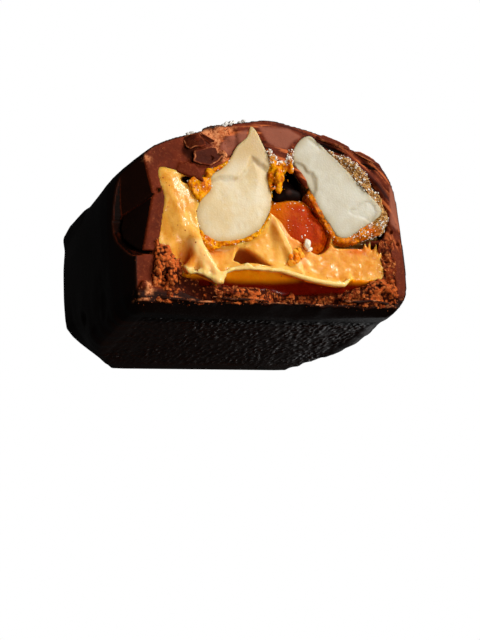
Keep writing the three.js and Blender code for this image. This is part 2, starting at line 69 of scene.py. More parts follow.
NUT_STEP = 0.15  # grid step of the nuts and their crusts
FLAKE_STEP = 0.085
SLANT_X, SLANT_Z = 0.397, 0.311  # how a point behind the cut shifts across it, as the camera sees it
LIMITS = {  # the most triangles that each piece keeps
    "chocolate_shell_skin": 185000, "caramel_soft": 175000, "crumb_rough": 110000,
    "sugar_crust_left": 75000, "sugar_crust_right": 75000, "candied_nut_glossy": 60000,
    "chocolate_flakes_left": 40000, "chocolate_flakes_right": 40000,
    "nut_left_half": 28000, "nut_right_half": 28000}

# ---- Outlines, as (x, z) points run anticlockwise --------------------------------------------
SKIN_AT_CUT = [
    (-18.4, 0), (-9, 0), (0, 0), (10, 0), (18.6, 0), (20.4, 1.2), (21.6, 3), (22, 6), (22, 11),
    (21.9, 16), (21.5, 20.2), (20.2, 23), (18.2, 25), (15.3, 25.9), (11, 27.9), (7, 28.9),
    (2.5, 29.8), (-1, 29.4), (-5.5, 28.4), (-10.5, 26.7), (-14, 25.5), (-17, 23.8),
    (-18.3, 21.6), (-18.9, 18), (-19.4, 13), (-19.9, 8), (-20.1, 4), (-19.9, 1.2),
]
SKIN_OF_BODY = [
    (-20.4, 0), (-9, 0), (0, 0), (10, 0), (19.6, 0), (20.9, 0.9), (21.6, 3), (21.9, 6), (22, 11),
    (21.8, 16), (21.2, 20), (19.8, 22.8), (17.6, 24.8), (14.8, 26), (10.5, 27.2), (6.5, 27.9),
    (2, 28.2), (-1.5, 28.1), (-6, 27.4), (-11, 26.3), (-15, 25), (-19, 23.3),
    (-21.2, 21.1), (-21.8, 18), (-21.9, 13), (-21.9, 8), (-21.8, 4), (-21.5, 1.2),
]
HOLLOW_AT_CUT = [
    (-17.3, 1.5), (-8, 1.3), (2, 1.3), (12, 1.3), (19.7, 1.6), (20.1, 4.5), (19.9, 8), (20, 12),
    (20.6, 16.5), (20, 19.4), (18.4, 20.9), (16.8, 22.6), (14.4, 23.6), (11, 24), (7.5, 24.2),
    (4.5, 23.5), (2, 24), (-1, 23.3), (-4.9, 22), (-7.6, 20.8), (-10.2, 19.8), (-13, 20.7),
    (-15.4, 21.1), (-15.4, 19), (-14.8, 16.7), (-15.4, 13.5), (-16.2, 10), (-17.2, 6.5),
]
HOLLOW_OF_BODY = [
    (-18.9, 1.7), (-8, 1.3), (2, 1.3), (12, 1.3), (18.8, 1.7), (19.7, 4.5), (19.9, 8),
    (19.9, 12), (19.6, 16.5), (18.8, 19.4), (17.6, 20.9), (16, 22.2), (13.5, 23), (10.5, 23.6),
    (7.5, 24), (4.5, 24.2), (2, 24.3), (-1, 24.2), (-4.9, 23.8), (-7.6, 23.4), (-10.5, 22.9),
    (-14.5, 22.2), (-18, 21), (-19.3, 18.5), (-19.6, 16), (-19.6, 13), (-19.6, 10), (-19.4, 6.5),
]
CRUMB_AT_CUT = [
    (-17.2, 1.5), (-8, 1.3), (2, 1.3), (12, 1.3), (19.5, 1.6), (20, 4), (19.9, 7.5),
    (19.9, 11.5), (18.6, 11.5), (18.2, 9.2), (18.7, 7), (18, 5), (15.6, 4.1), (12, 3.4),
    (6, 3.2), (-1, 3.2), (-7, 3.4), (-11.4, 3.9), (-12.9, 5.4), (-13.6, 7.4), (-14.8, 9.3),
    (-16.3, 9.8), (-17, 6),
]
CRUMB_OF_BODY = [
    (-18.2, 2), (-8, 1.6), (2, 1.6), (12, 1.6), (18.2, 2), (19.2, 3.2), (19.3, 4.6), (19.2, 6),
    (18.7, 6.2), (18, 5.6), (17.2, 4.8), (15.6, 4), (13.4, 3.5), (10, 3.3), (5, 3.2), (-1, 3.2),
    (-7, 3.3), (-11, 3.5), (-14, 3.9), (-16, 4.7), (-17.4, 5.6), (-18.4, 5.9), (-18.7, 4.2),
]
NUT_LEFT = [
    (-9.5, 11.2), (-7.3, 10.2), (-4.2, 10.5), (-1.2, 12), (0.7, 14.4), (1.6, 17), (1.3, 20.4),
    (1.7, 23.6), (0.9, 25.6), (-0.1, 28), (-0.8, 28.6), (-1.5, 26.9), (-3.3, 25.2), (-4.8, 22.8),
    (-6.3, 21.3), (-7.7, 20.4), (-8, 18.2), (-9.7, 16.4), (-10.5, 14),
]
NUT_RIGHT = [
    (5.8, 22.8), (6.8, 21.2), (7.9, 18.9), (8.7, 16.4), (10.2, 13.8), (11.6, 11.7), (12.9, 11.6),
    (15.7, 13.3), (18.4, 15), (19.2, 16.3), (17.5, 18.6), (15.4, 20.9), (13.4, 23.2),
    (11.2, 25.4), (9.6, 26.9), (8.6, 27.7), (7.3, 27.2), (6.1, 25.9), (5.5, 24.6),
]
GLAZE_LEFT = [
    (-9.8, 9.6), (-8.4, 9.1), (-6.8, 9.6), (-4.4, 10), (-2, 11), (-0.2, 12.6), (0.9, 14.4),
    (1.6, 16.2), (1.7, 18), (1.6, 19.4), (2.6, 20.4), (4, 21.6), (4.3, 22.8), (2.8, 23.4),
    (0, 22), (-3, 19), (-6.5, 19.2), (-7.4, 20.4), (-8.6, 20.4), (-9.2, 19.4), (-9.6, 17.4),
    (-9.6, 15.8), (-10.2, 14), (-10.2, 11.4),
]
GLAZE_RIGHT = [
    (7.2, 18.6), (8, 16.6), (9.3, 14), (10.7, 11.5), (12.4, 10.7), (14.4, 11), (16.8, 11.9),
    (19, 12.7), (19.8, 14.6), (19.8, 17), (18.9, 18.9), (17.6, 20.6), (16.6, 22), (15.2, 23),
    (13.4, 23.9), (11.4, 25.4), (10.4, 22.4), (9.4, 20.2),
]
CANDIED_LOBES = (((5.6, 6.4, 13.4), (5.6, 5.8, 5.4)), ((3.6, 4.8, 15), (3.4, 4.2, 3.4)),
                 ((6, 4.8, 15.4), (4, 4.2, 3.4)), ((8.7, 3.7, 12.7), (2.7, 3, 3.6)),
                 ((5.6, 4.8, 12), (3.6, 4, 3.2)))  # centre and radii of each swelling

# The two shell fragments that are pushed in beside the cut, as (y, z) outlines on the left side,
# and the points that set their planes, which meet in a crease.
UPPER_FRAGMENT = [(-3, 17.4), (-3, 22.9), (1.8, 22.7), (3.2, 21.9), (4.2, 21), (4.8, 19.1),
                  (5.3, 17), (5.6, 15.4)]
LOWER_FRAGMENT = [(-3, 17.4), (5.6, 15.4), (5.8, 12.8), (4.9, 11.2), (3.3, 9.7), (1.7, 8.3),
                  (0.7, 7.7), (-3, 7.6)]
CREASE_FRONT = (-16.6, 0, 17.1)
CREASE_BACK = (-20, 5.6, 15.4)
UPPER_HINGE = (-17.6, 0, 22.6)
LOWER_EDGE = (-18.6, 0, 8.8)
FRAGMENTS = ((UPPER_FRAGMENT, UPPER_HINGE), (LOWER_FRAGMENT, LOWER_EDGE))


# ---- Noise -----------------------------------------------------------------------------------
def hashed(i, j, k, seed):
    """A number from 0 to 1 for every whole-number cell."""
    h = (i * 73856093) ^ (j * 19349663) ^ (k * 83492791) ^ (seed * 2654435761)
    h = h & 0xFFFFFFFF
    h = ((h ^ (h >> 15)) * 2246822519) & 0xFFFFFFFF
    h = ((h ^ (h >> 13)) * 3266489917) & 0xFFFFFFFF
    return ((h ^ (h >> 16)) & 0xFFFFFF).astype(np.float32) / 0xFFFFFF


def noise(points, size, seed=0):
    """Smooth noise between -1 and 1 at (n, 3) points, with features as large as size."""
    scaled = points / np.asarray(size, np.float32)
    cell = np.floor(scaled).astype(np.int64)
    part = scaled - cell
    part = part * part * (3 - 2 * part)
    total = 0
    for corner in range(8):
        step = np.array([corner & 1, corner >> 1 & 1, corner >> 2])
        weight = np.where(step, part, 1 - part).prod(axis=-1)
        i, j, k = (cell + step).T
        total = total + weight * hashed(i, j, k, seed)
    return 2 * total - 1


def layered(points, size, layers, seed=0):
    """Several layers of noise, each half as large and half as strong as the one before."""
    size = np.asarray(size, np.float32)
    return sum(noise(points, size / 2 ** n, seed + n) / 2 ** n for n in range(layers))


def grains(points, size, seed=0):
    """Distance to the nearest of scattered grain centres, about 0 to 1 in units of size."""
    scaled = points / np.asarray(size, np.float32)
    cell = np.floor(scaled).astype(np.int64)
    nearest = np.full(len(points), 9.0, np.float32)
    for step in np.ndindex(3, 3, 3):
        i, j, k = (cell + np.array(step) - 1).T
        away = 0
        for axis, number in enumerate((i, j, k)):
            centre = number + 0.15 + 0.7 * hashed(i, j, k, seed + 11 * axis)
            away = away + (scaled[:, axis] - centre) ** 2
        nearest = np.minimum(nearest, away)
    return np.sqrt(nearest)


def smoothstep(value, low, high):
    share = np.clip((value - low) / (high - low), 0, 1)
    return share * share * (3 - 2 * share)


def band(value, low, high, soft):
    """1 between low and high, fading to 0 over soft outside them."""
    return smoothstep(value, low - soft, low) * (1 - smoothstep(value, high, high + soft))


def bump(*ratios):
    """A bell: 1 where all the ratios are 0, and falling off to all sides."""
    return np.exp(-sum(ratio ** 2 for ratio in ratios))


def most(*values):
    """The largest of several values, place by place."""
    return functools.reduce(np.maximum, values)


def along(line, x):
    """The height at x of a line of (x, height) points."""
    return np.interp(x, *zip(*line))


def as_points(x, y, z):
    """Grid coordinates that broadcast together, as an (n, 3) list and the shape they came in."""
    x, y, z = np.broadcast_arrays(x, y, z)
    return np.stack([x.ravel(), y.ravel(), z.ravel()], 1).astype(np.float32), x.shape


def waves_at(x, y, z):
    """Layered noise at grid coordinates, as a function of its size, layers and seed."""
    points, shape = as_points(x, y, z)
    return lambda *settings: layered(points, *settings).reshape(shape)


# ---- Distances -------------------------------------------------------------------------------
def smooth_outline(points, count):
    """A closed centripetal Catmull-Rom curve through points, sampled at equal parameters."""
    points = np.asarray(points, float)
    total = len(points)
    samples = []
    for share in np.arange(count) * total / count:
        first = int(share)
        p = [points[(first + n) % total] for n in (-1, 0, 1, 2)]
        t = [0.0]
        for a, b in zip(p, p[1:]):
            t.append(t[-1] + max(np.linalg.norm(b - a), 1e-6) ** 0.5)
        at = t[1] + (share - first) * (t[2] - t[1])
        knots = ([(0, 1), (1, 2), (2, 3)], [(0, 2), (1, 3)], [(1, 2)])
        for spans in knots:
            p = [a + (b - a) * (at - t[low]) / (t[high] - t[low])
                 for a, b, (low, high) in zip(p, p[1:], spans)]
        samples.append(p[0])
    return np.array(samples)


def outline_distance(points, u, v):
    """Signed distance from (u, v) to a closed outline, negative inside."""
    nearest = np.full(np.broadcast(u, v).shape, 1e9)
    inside = np.zeros(nearest.shape, bool)
    for (ax, az), (bx, bz) in zip(points, np.roll(points, -1, axis=0)):
        dx, dz = bx - ax, bz - az
        share = np.clip(((u - ax) * dx + (v - az) * dz) / (dx * dx + dz * dz + 1e-12), 0, 1)
        nearest = np.minimum(nearest, (u - ax - share * dx) ** 2 + (v - az - share * dz) ** 2)
        crosses = (az > v) != (bz > v)
        inside ^= crosses & (u < ax + (v - az) * dx / (dz if dz else 1e-12))
    return np.where(inside, -1, 1) * np.sqrt(nearest)


def smooth_min(a, b, soft):
    if soft <= 0:
        return np.minimum(a, b)
    share = np.clip(0.5 + 0.5 * (b - a) / soft, 0, 1)
    return b + (a - b) * share - soft * share * (1 - share)


def smooth_max(a, b, soft):
    return -smooth_min(-a, -b, soft)


def rounded_meet(a, b, radius):
    """The part inside both, with the edge between them rounded."""
    corner = np.hypot(np.maximum(a + radius, 0), np.maximum(b + radius, 0))
    return np.minimum(np.maximum(a, b), -radius) + corner


def box_of(points, margin):
    points = np.asarray(points, float)
    return points.min(0) - margin, points.max(0) + margin


def string(path, radii):
    """A rounded string along a path of (x, y, z) points; its radius runs from point to point."""
    path = np.asarray(path, float)
    radii = np.broadcast_to(np.asarray(radii, float), len(path))

    def distance(x, y, z):
        nearest = 1e9
        for a, b, ra, rb in zip(path, path[1:], radii, radii[1:]):
            d = b - a
            along = (x - a[0]) * d[0] + (y - a[1]) * d[1] + (z - a[2]) * d[2]
            share = np.clip(along / (d @ d + 1e-12), 0, 1)
            away = np.sqrt((x - a[0] - share * d[0]) ** 2 + (y - a[1] - share * d[1]) ** 2
                           + (z - a[2] - share * d[2]) ** 2)
            nearest = np.minimum(nearest, away - ra - share * (rb - ra))
        return nearest
    return (*box_of(path, radii.max() + 1.5), distance)


def blob(centre, radii):
    """An ellipsoid."""
    centre, radii = np.asarray(centre, float), np.asarray(radii, float)

    def distance(x, y, z):
        away = np.sqrt((x - centre[0]) ** 2 + (y - centre[1]) ** 2 + (z - centre[2]) ** 2)
        reach = np.sqrt(((x - centre[0]) / radii[0]) ** 2 + ((y - centre[1]) / radii[1]) ** 2
                        + ((z - centre[2]) / radii[2]) ** 2)
        return away * (1 - 1 / np.maximum(reach, 1e-6))
    return centre - radii - 1.5, centre + radii + 1.5, distance


def plate(outline, thickness, place):
    """A thin plate: an outline in (x, z), with its middle surface at y = place(x, z)."""
    outline = np.asarray(outline, float)
    low, high = box_of(outline, 1.2)

    def distance(x, y, z):
        side = outline_distance(outline, x, z)
        return np.maximum(side, np.abs(y - place(x, z)) - thickness / 2)
    return (low[0], -4, low[1]), (high[0], 6, high[1]), distance


def cup(outline, depth, grow=0.0):
    """The pillow behind an outline at the cut that reaches the given depth in its middle."""
    outline = np.asarray(outline, float)
    low, high = box_of(outline, 1.5 + grow)
    x, z = np.meshgrid(np.arange(low[0], high[0], 0.4), np.arange(low[1], high[1], 0.4))
    inradius = -outline_distance(outline, x, z).min()

    def distance(x, y, z):
        side = outline_distance(outline, x, z)
        behind = np.maximum(y, 0) / depth
        return (np.hypot(np.maximum(1 + side / inradius, 0), behind) - 1) * inradius - grow
    return (low[0], -4, low[1]), (high[0], depth + 1.5 + grow, high[1]), distance


def plane_through(a, b, c):
    """Signed distance to the plane through three points, positive towards -x."""
    a, b, c = (np.asarray(p, float) for p in (a, b, c))
    normal = np.cross(b - a, c - a)
    normal = -np.sign(normal[0]) * normal / np.linalg.norm(normal)
    return lambda x, y, z: (x - a[0]) * normal[0] + (y - a[1]) * normal[1] + (z - a[2]) * normal[2]


# ---- A body on a grid, and its mesh ----------------------------------------------------------
def steps(start, stop, step, fine_until=None, coarse=None):
    """Grid planes from start to stop; past fine_until the step grows to coarse."""
    planes = [start]
    while planes[-1] < stop:
        if fine_until is not None and planes[-1] > fine_until:
            step = min(step * 1.12, coarse)
        planes.append(planes[-1] + step)
    return np.array(planes, np.float32)


class Body:
    """A solid as signed distances on a box grid, negative inside."""

    def __init__(self, xs, ys, zs):
        self.axes = (xs, ys, zs)
        self.x, self.y, self.z = xs[:, None, None], ys[None, :, None], zs[None, None, :]
        self.field = None

    def part(self, low, high):
        spans = tuple(slice(*np.searchsorted(a, (l, h)))
                      for a, l, h in zip(self.axes, low, high))
        return spans, self.x[spans[0]], self.y[:, spans[1]], self.z[:, :, spans[2]]

    def add(self, shape, soft=0.0, carved=False):
        """Adds a shape, or carves it out, with the seam rounded over soft."""
        low, high, distance = shape
        spans, x, y, z = self.part(low, high)
        view = self.field[spans]
        if view.size:
            away = distance(x, y, z)
            view[...] = smooth_max(view, -away, soft) if carved else smooth_min(view, away, soft)

    def carve(self, shape, soft=0.0):
        self.add(shape, soft, carved=True)

    def strings(self, paths, soft=0.0):
        """Adds a string for each path and its radii, some with a softness of their own."""
        for path, radii, *own in paths:
            self.add(string(path, radii), own[0] if own else soft)

    def holes(self, blobs, soft=0.0):
        """Carves out an ellipsoid for each centre and its radii."""
        for centre, radii in blobs:
            self.carve(blob(centre, radii), soft)

    def cups(self, cups, grow):
        """Makes room for the nuts or their crusts."""
        for outline, depth in cups:
            self.carve(cup(outline, depth, grow))

    def swell(self, height, reach, low=(-99,) * 3, high=(99,) * 3):
        """Moves the surface outwards by height(points), where it lies between low and high."""
        spans, *_ = self.part(low, high)
        view = self.field[spans]
        near = np.nonzero(np.abs(view) < reach)
        points = np.stack([a[s][n] for a, s, n in zip(self.axes, spans, near)], 1)
        view[near] -= height(points)

    def at(self, points):
        """The distance at (n, 3) points, between the grid's values."""
        low, part = [], []
        for axis, column in zip(self.axes, points.T):
            index = np.clip(np.searchsorted(axis, column) - 1, 0, len(axis) - 2)
            low.append(index)
            part.append((column - axis[index]) / (axis[index + 1] - axis[index]))
        total = 0
        for corner in np.ndindex(2, 2, 2):
            weight = 1
            for side, share in zip(corner, part):
                weight = weight * (share if side else 1 - share)
            total = total + weight * self.field[tuple(i + s for i, s in zip(low, corner))]
        return total

    def surface(self):
        """Points and four-sided faces of the zero surface, by surface nets."""
        field = self.field
        inside = field < 0
        cells = np.array(field.shape) - 1
        sums, owners, quads = [], [], []
        for axis in range(3):
            u, v = (axis + 1) % 3, (axis + 2) % 3
            low = [slice(None)] * 3
            high = [slice(None)] * 3
            low[axis], high[axis] = slice(None, -1), slice(1, None)
            low, high = tuple(low), tuple(high)
            edge = np.stack(np.nonzero(inside[low] != inside[high]), 1)
            start = tuple(edge.T)
            end = edge.copy()
            end[:, axis] += 1
            end = tuple(end.T)
            share = field[start] / (field[start] - field[end])
            place = np.stack([a[i] for a, i in zip(self.axes, start)], 1).astype(float)
            ends = self.axes[axis]
            place[:, axis] += share * (ends[end[axis]] - ends[start[axis]])
            corners = []
            for du, dv in ((-1, -1), (0, -1), (0, 0), (-1, 0)):
                cell = edge.copy()
                cell[:, u] += du
                cell[:, v] += dv
                corners.append(np.ravel_multi_index(tuple(cell.T), cells, mode="clip"))
                sums.append(place)
                owners.append(corners[-1])
            face = np.stack(corners, 1)
            outwards = inside[start]
            quads.append(np.where(outwards[:, None], face, face[:, ::-1]))
        cell, owner = np.unique(np.concatenate(owners), return_inverse=True)
        count = np.bincount(owner)
        places = np.concatenate(sums)
        points = np.stack([np.bincount(owner, places[:, n]) / count for n in range(3)], 1)
        return points, np.searchsorted(cell, np.concatenate(quads))

    def mesh(self, name):
        """One smooth mesh object, with no more triangles than LIMITS gives it."""
        points, faces = self.surface()
        piece = new_object(name, points, faces)
        triangles = 2 * len(faces)
        if triangles > LIMITS[name]:
            thin(piece, LIMITS[name] / triangles)
        return piece


def to_frame(points):
    """Cut frame in millimetres to the part's frame in metres."""
    return (np.asarray(points) + (-MIDDLE_X, CUT_Y, 0)) * MM


def new_object(name, points, faces, smooth=True):
    """A mesh object from points in the cut frame and an (n, 3) or (n, 4) list of faces."""
    mesh = bpy.data.meshes.new(name)
    sides = faces.shape[1]
    mesh.vertices.add(len(points))
    mesh.vertices.foreach_set("co", to_frame(points).astype(np.float32).ravel())
    mesh.loops.add(faces.size)
    mesh.loops.foreach_set("vertex_index", faces.astype(np.int32).ravel())
    mesh.polygons.add(len(faces))
    mesh.polygons.foreach_set("loop_start", np.arange(len(faces), dtype=np.int32) * sides)
    mesh.polygons.foreach_set("use_smooth", np.full(len(faces), smooth))
    mesh.update(calc_edges=True)
    piece = bpy.data.objects.new(name, mesh)
    bpy.context.scene.collection.objects.link(piece)
    return piece


def thin(piece, ratio):
    """Takes triangles away where the surface is flattest."""
    fewer = piece.modifiers.new("fewer", "DECIMATE")
    fewer.ratio = ratio
    graph = bpy.context.evaluated_depsgraph_get()
    mesh = bpy.data.meshes.new_from_object(piece.evaluated_get(graph))
    piece.modifiers.clear()
    old = piece.data
    piece.data = mesh
    mesh.name = old.name
    bpy.data.meshes.remove(old)


def places_of(piece):
    """The mesh's points in the cut frame, in millimetres."""
    places = np.empty(3 * len(piece.data.vertices), np.float32)
    piece.data.vertices.foreach_get("co", places)
    return places.reshape(-1, 3) / MM - (-MIDDLE_X, CUT_Y, 0)


def normals_of(piece):
    normals = np.empty(3 * len(piece.data.vertices), np.float32)
    piece.data.vertices.foreach_get("normal", normals)
    return normals.reshape(-1, 3)


def mark(piece, name, values):
    """A number at each point of the mesh, for the material to read."""
    attribute = piece.data.attributes.new(name, "FLOAT", "POINT")
    attribute.data.foreach_set("value", np.clip(values, 0, 1).astype(np.float32))


def lofted(body, ring_at, stations):
    """Distances to a tube whose outline changes from station to station along y."""
    layers = [outline_distance(ring_at(y), body.x[:, 0], body.z[0]) for y in stations]
    layers = np.stack(layers, 1).astype(np.float32)
    index = np.clip(np.searchsorted(stations, body.axes[1]) - 1, 0, len(stations) - 2)
    stations = np.asarray(stations)
    share = (body.axes[1] - stations[index]) / (stations[index + 1] - stations[index])
    share = np.clip(share, 0, 1)[None, :, None].astype(np.float32)
    return layers[:, index] * (1 - share) + layers[:, index + 1] * share


# ---- Rings of skin, hollow and crumb ---------------------------------------------------------
RING_POINTS = 84
skin_cut, skin_body, hollow_cut, hollow_body, crumb_cut, crumb_body = (
    smooth_outline(outline, RING_POINTS) for outline in (
        SKIN_AT_CUT, SKIN_OF_BODY, HOLLOW_AT_CUT, HOLLOW_OF_BODY, CRUMB_AT_CUT, CRUMB_OF_BODY))
nut_left_outline, nut_right_outline, glaze_left_outline, glaze_right_outline = (
    smooth_outline(outline, 60) for outline in (NUT_LEFT, NUT_RIGHT, GLAZE_LEFT, GLAZE_RIGHT))
NUT_CUPS = ((nut_left_outline, NUT_DEPTH_LEFT), (nut_right_outline, NUT_DEPTH_RIGHT))
CRUST_CUPS = ((glaze_left_outline, NUT_DEPTH_LEFT + GLAZE_THICKNESS),
              (glaze_right_outline, NUT_DEPTH_RIGHT + GLAZE_THICKNESS))
SKIN_STATIONS = [-3, 0, 1.5, 3.2, 5.2, 7.2, PINCH_LENGTH, 14, FOOT_START, 21, 24, 27, 30, 32.5,
                 LENGTH, LENGTH + 2]
FILLING_STATIONS = [-3, 0, 2, 4.5, 7, PINCH_LENGTH, 17, 24, 33]


def opening(y):
    """How far the outline has opened from its squeezed form at the cut."""
    return 1 - (1 - np.clip(y / PINCH_LENGTH, 0, 1)) ** 2


def skin_ring(y):
    ring = skin_cut + (skin_body - skin_cut) * opening(y)
    draw = FOOT_DRAW * (max(0, y - FOOT_START) / 10) ** 1.7
    low = np.maximum(0, 1 - ring[:, 1] / FOOT_HEIGHT) ** 1.5
    ring[:, 0] -= np.sign(ring[:, 0]) * draw * low * (np.abs(ring[:, 0]) / HALF_WIDTH) ** 4
    ring[:, 1] = np.maximum(ring[:, 1], 0)
    return ring


def filling_tube(body, at_cut, of_body):
    """Distances to the tube that opens from the outline at the cut to that of the body."""
    def ring_at(y):
        ring = at_cut + (of_body - at_cut) * opening(y)
        into = np.clip((y - FOOT_START) / (FILLING_END - FOOT_START), 0, 1)
        low = np.clip(1 - ring[:, 1] / 11, 0, 1)
        ring[:, 0] *= 1 - 0.2 * into * low
        return ring
    return lofted(body, ring_at, FILLING_STATIONS)


# ---- The chocolate shell ---------------------------------------------------------------------
FLAKE_CURL = [(-11.7, 26.1), (-11.5, 25.1), (-11.4, 24.3), (-10.9, 23.8), (-10.2, 24.2),
              (-9.4, 24.1), (-8.7, 24.4), (-8.6, 25.1), (-9.1, 25.9), (-9.3, 26.6), (-10.6, 26.5)]
FLAKE_RIDGE = [(-9.3, 26.6), (-9.2, 25.9), (-8.5, 25.3), (-8, 24.7), (-7.2, 24.9), (-7.2, 25.4),
               (-8.3, 26.2)]
FLAKE_LOW = [(-10.6, 22.1), (-10.2, 22.8), (-10.4, 23.6), (-9, 24.1), (-7.6, 24.6), (-6.8, 24.6),
             (-6.4, 23.6), (-5.5, 23.8), (-6.4, 22.6), (-7.8, 21.7), (-9.4, 21.8)]
FRACTURE = [(-9.6, 26.8), (-7.8, 28.2), (-4.5, 28.7), (-3.2, 27.6), (-3, 25.4), (-4.4, 23),
            (-6, 21.8), (-7.2, 22.4), (-5.9, 24), (-7, 25.2), (-8, 25.6)]
TAN_FRACTURE = [(-9, 26.9), (-7.8, 27.6), (-5.6, 28.1), (-3, 28.2), (-4.4, 27.2), (-5.6, 26.3),
                (-6.1, 25), (-5.6, 23.6), (-6.3, 23.6), (-6.9, 24.9), (-7.3, 25.8)]
# Facets of the cut face that get a painted sheen, a purple-brown reflection laid into the colour;
# they also break off the shaved streaks in the relief.
PAINTED_SHEEN_FACETS = (
    [(-5.9, 25), (-4.8, 26.5), (-3, 27.4), (-1.4, 27.9), (-1.7, 26.4), (-3.4, 25.4), (-4.2, 23.9),
     (-5.4, 23.8)],
    [(0.4, 28.6), (5.2, 28.6), (7.2, 27.4), (5.8, 26.6), (4.6, 25.3), (3, 25.4), (1.6, 26.2)],
    [(20.9, 20.2), (20.6, 17.2), (20.3, 14.2), (21.1, 13.4), (21.9, 13.2), (21.8, 17),
     (21.5, 19.8)])
# A facet on the right that lies deeper; it is painted darker as shade.
DARK_FACET = [(18.3, 20.7), (19.4, 21), (20.3, 19.8), (20.4, 18.3), (19.4, 18), (18.8, 19.2)]
SHELL_TIP = [(-13, 20.6), (-11.6, 20.1), (-10.4, 19.7), (-9.4, 19.1), (-9, 19), (-9.3, 20),
             (-9.8, 21), (-10.4, 22), (-12.4, 22)]
WEDGE = [(0.8, 27.4), (1.4, 25.7), (2.2, 24.3), (3.2, 23.3), (4.1, 23), (4.6, 23.8), (5.1, 25),
         (6.2, 26.3), (7, 27.4), (4, 28)]
LOW_CORNER = [(-19.4, 1), (-19.2, 2.6), (-17.9, 3.2), (-16.3, 2.8), (-14.1, 2.9), (-12.4, 2),
              (-10.6, 1.4), (-8.6, 1.2), (-8.6, 0.9)]
# Slots under the right flakes; they are painted dark as the flakes' shadow.
SLOT_UPPER = [(10, 26.9), (12, 26.2), (14.6, 25.3), (14.4, 24.8), (12, 25.4), (10.3, 26.2)]
SLOT_LOWER = [(16.4, 24.2), (18, 23.6), (19.6, 22.9), (19.4, 22.5), (18, 23), (16.4, 23.5)]
CREVICE = [(-2, 8.3), (0.6, 8.2), (1.8, 8.9), (3.2, 10), (4.7, 11.4), (5.5, 13), (5.65, 14.6)]
BASE_BREAK = [(-24, 1.6), (-17, 2.4), (-6, 4.6), (4, 4.8), (12, 3), (24, 1.2)]  # (x, depth)
TAN_CORNER = [(-18.9, 1.8), (-17.8, 2), (-17.9, 3.6), (-18.8, 3.9)]
# A painted highlight on the rim at the top of the left wall.
PAINTED_HIGHLIGHT_RIM = [(-17.7, 21.6), (-16.9, 21.6), (-16.2, 23.2), (-16.6, 24.4), (-17.5, 23.6)]
# Where painted shadow lies beside the flakes and the shell tip.
DARK_CORNER = [(-12.2, 24), (-10.6, 22.4), (-9.8, 24), (-11, 25)]
CRACKS = (
    ([(-16.9, -1, 17.1), (-16.3, 0, 17.4), (-15.2, 0.8, 18)], [0.3, 0.38, 0.22]),
    ([(-16.8, -1, 17.1), (-16.6, 0.2, 17.1), (-18.4, 3, 16.2), (-20, 5.6, 15.4)],
     [0.25, 0.18, 0.12, 0.1]))
PORES = (((21.2, 0, 11), (0.3, 0.8, 0.25)), ((19.2, -0.1, 11.1), (0.5, 1.2, 0.45)),
         ((17.3, 0.2, 11), (0.5, 1.2, 0.4)), ((19.2, 0.4, 9.4), (0.4, 1, 0.7)),
         ((16, 0.4, 10.7), (0.4, 1, 0.35)), ((20.3, 0, 12.8), (0.25, 0.8, 0.3)))


def inside(outline, x, z, soft=0.35):
    """1 well inside an outline, 0 outside it."""
    return smoothstep(-outline_distance(outline, x, z), -soft, soft)


def shell_relief(x, z):
    """How far the shell's cut face lies behind the cut plane, at (nx, 1, nz) coordinates."""
    waves = waves_at(x, 0, z)
    facets = sum(inside(facet, x, z) for facet in (*PAINTED_SHEEN_FACETS, DARK_FACET))
    shaved = shaved_share(x, z) * (1 - np.clip(facets, 0, 1))
    rough = waves(1.0, 4, 5)
    broken = waves(1.5, 1, 6)
    streaks = layered(arc_places(x, z), (3.4, 1, 0.55), 3, 9).reshape(rough.shape)
    relief = 0.14 + 0.06 * waves(3, 2, 2) + 0.09 * shaved * (streaks + 0.4 * rough)
    relief = relief + inside(FRACTURE, x, z) * (
        0.3 + 0.13 * rough + 0.22 * np.sign(broken) * abs(broken) ** 0.5)
    relief = relief + 0.25 * inside(DARK_FACET, x, z, 0.12)
    return relief + (1 - smoothstep(z, 2.6, 3.6)) * (0.1 + 0.3 * rough)


def shaved_share(x, z):
    """Where the knife dragged the chocolate along: above and right of the nuts."""
    return band(x, -5, 30, 2) * band(z, 11, 40, 2)


def arc_places(x, z):
    """Places measured along and across the arch of the bar, for streaks that follow it."""
    places, _ = as_points(np.arctan2(z - 6, x) * 20, 0, np.hypot(x, z - 6))
    return places


def side_room(outline, third):
    """The room in front of a pushed-in fragment, down to its plane."""
    plane = plane_through(CREASE_FRONT, CREASE_BACK, third)
    low, high = box_of(outline, 1)

    def distance(x, y, z):
        return np.maximum(outline_distance(np.asarray(outline, float), y, z), -plane(x, y, z))
    return (-26, low[0], low[1]), (-12, high[0], high[1]), distance


def slit(path, width, left, right):
    """A narrow slot along a path of (y, z) points, through the wall between two x."""
    path = np.asarray(path, float)
    low, high = box_of(path, width + 1)

    def distance(x, y, z):
        nearest = 1e9
        for a, b in zip(path, path[1:]):
            d = b - a
            share = np.clip(((y - a[0]) * d[0] + (z - a[1]) * d[1]) / (d @ d), 0, 1)
            nearest = np.minimum(nearest, np.hypot(y - a[0] - share * d[0],
                                                   z - a[1] - share * d[1]))
        return np.maximum(nearest - width, np.maximum(x - right, left - x))
    return (left, low[0], low[1]), (right + 1, high[0], high[1]), distance


def base_break(body):
    """The base is broken back under the cut, deepest in the middle."""
    x, y, z = body.x, body.y, body.z
    height = BASE_BREAK_HEIGHT + 0.15 + 0.22 * waves_at(x, 0, 0)(4, 3, 31)
    slope = height / (along(BASE_BREAK, x) + 0.6)
    under = (height - (y + 0.6) * slope - z) / np.sqrt(1 + slope ** 2)
    body.field = np.maximum(body.field, np.where(y < 8, under, -9))


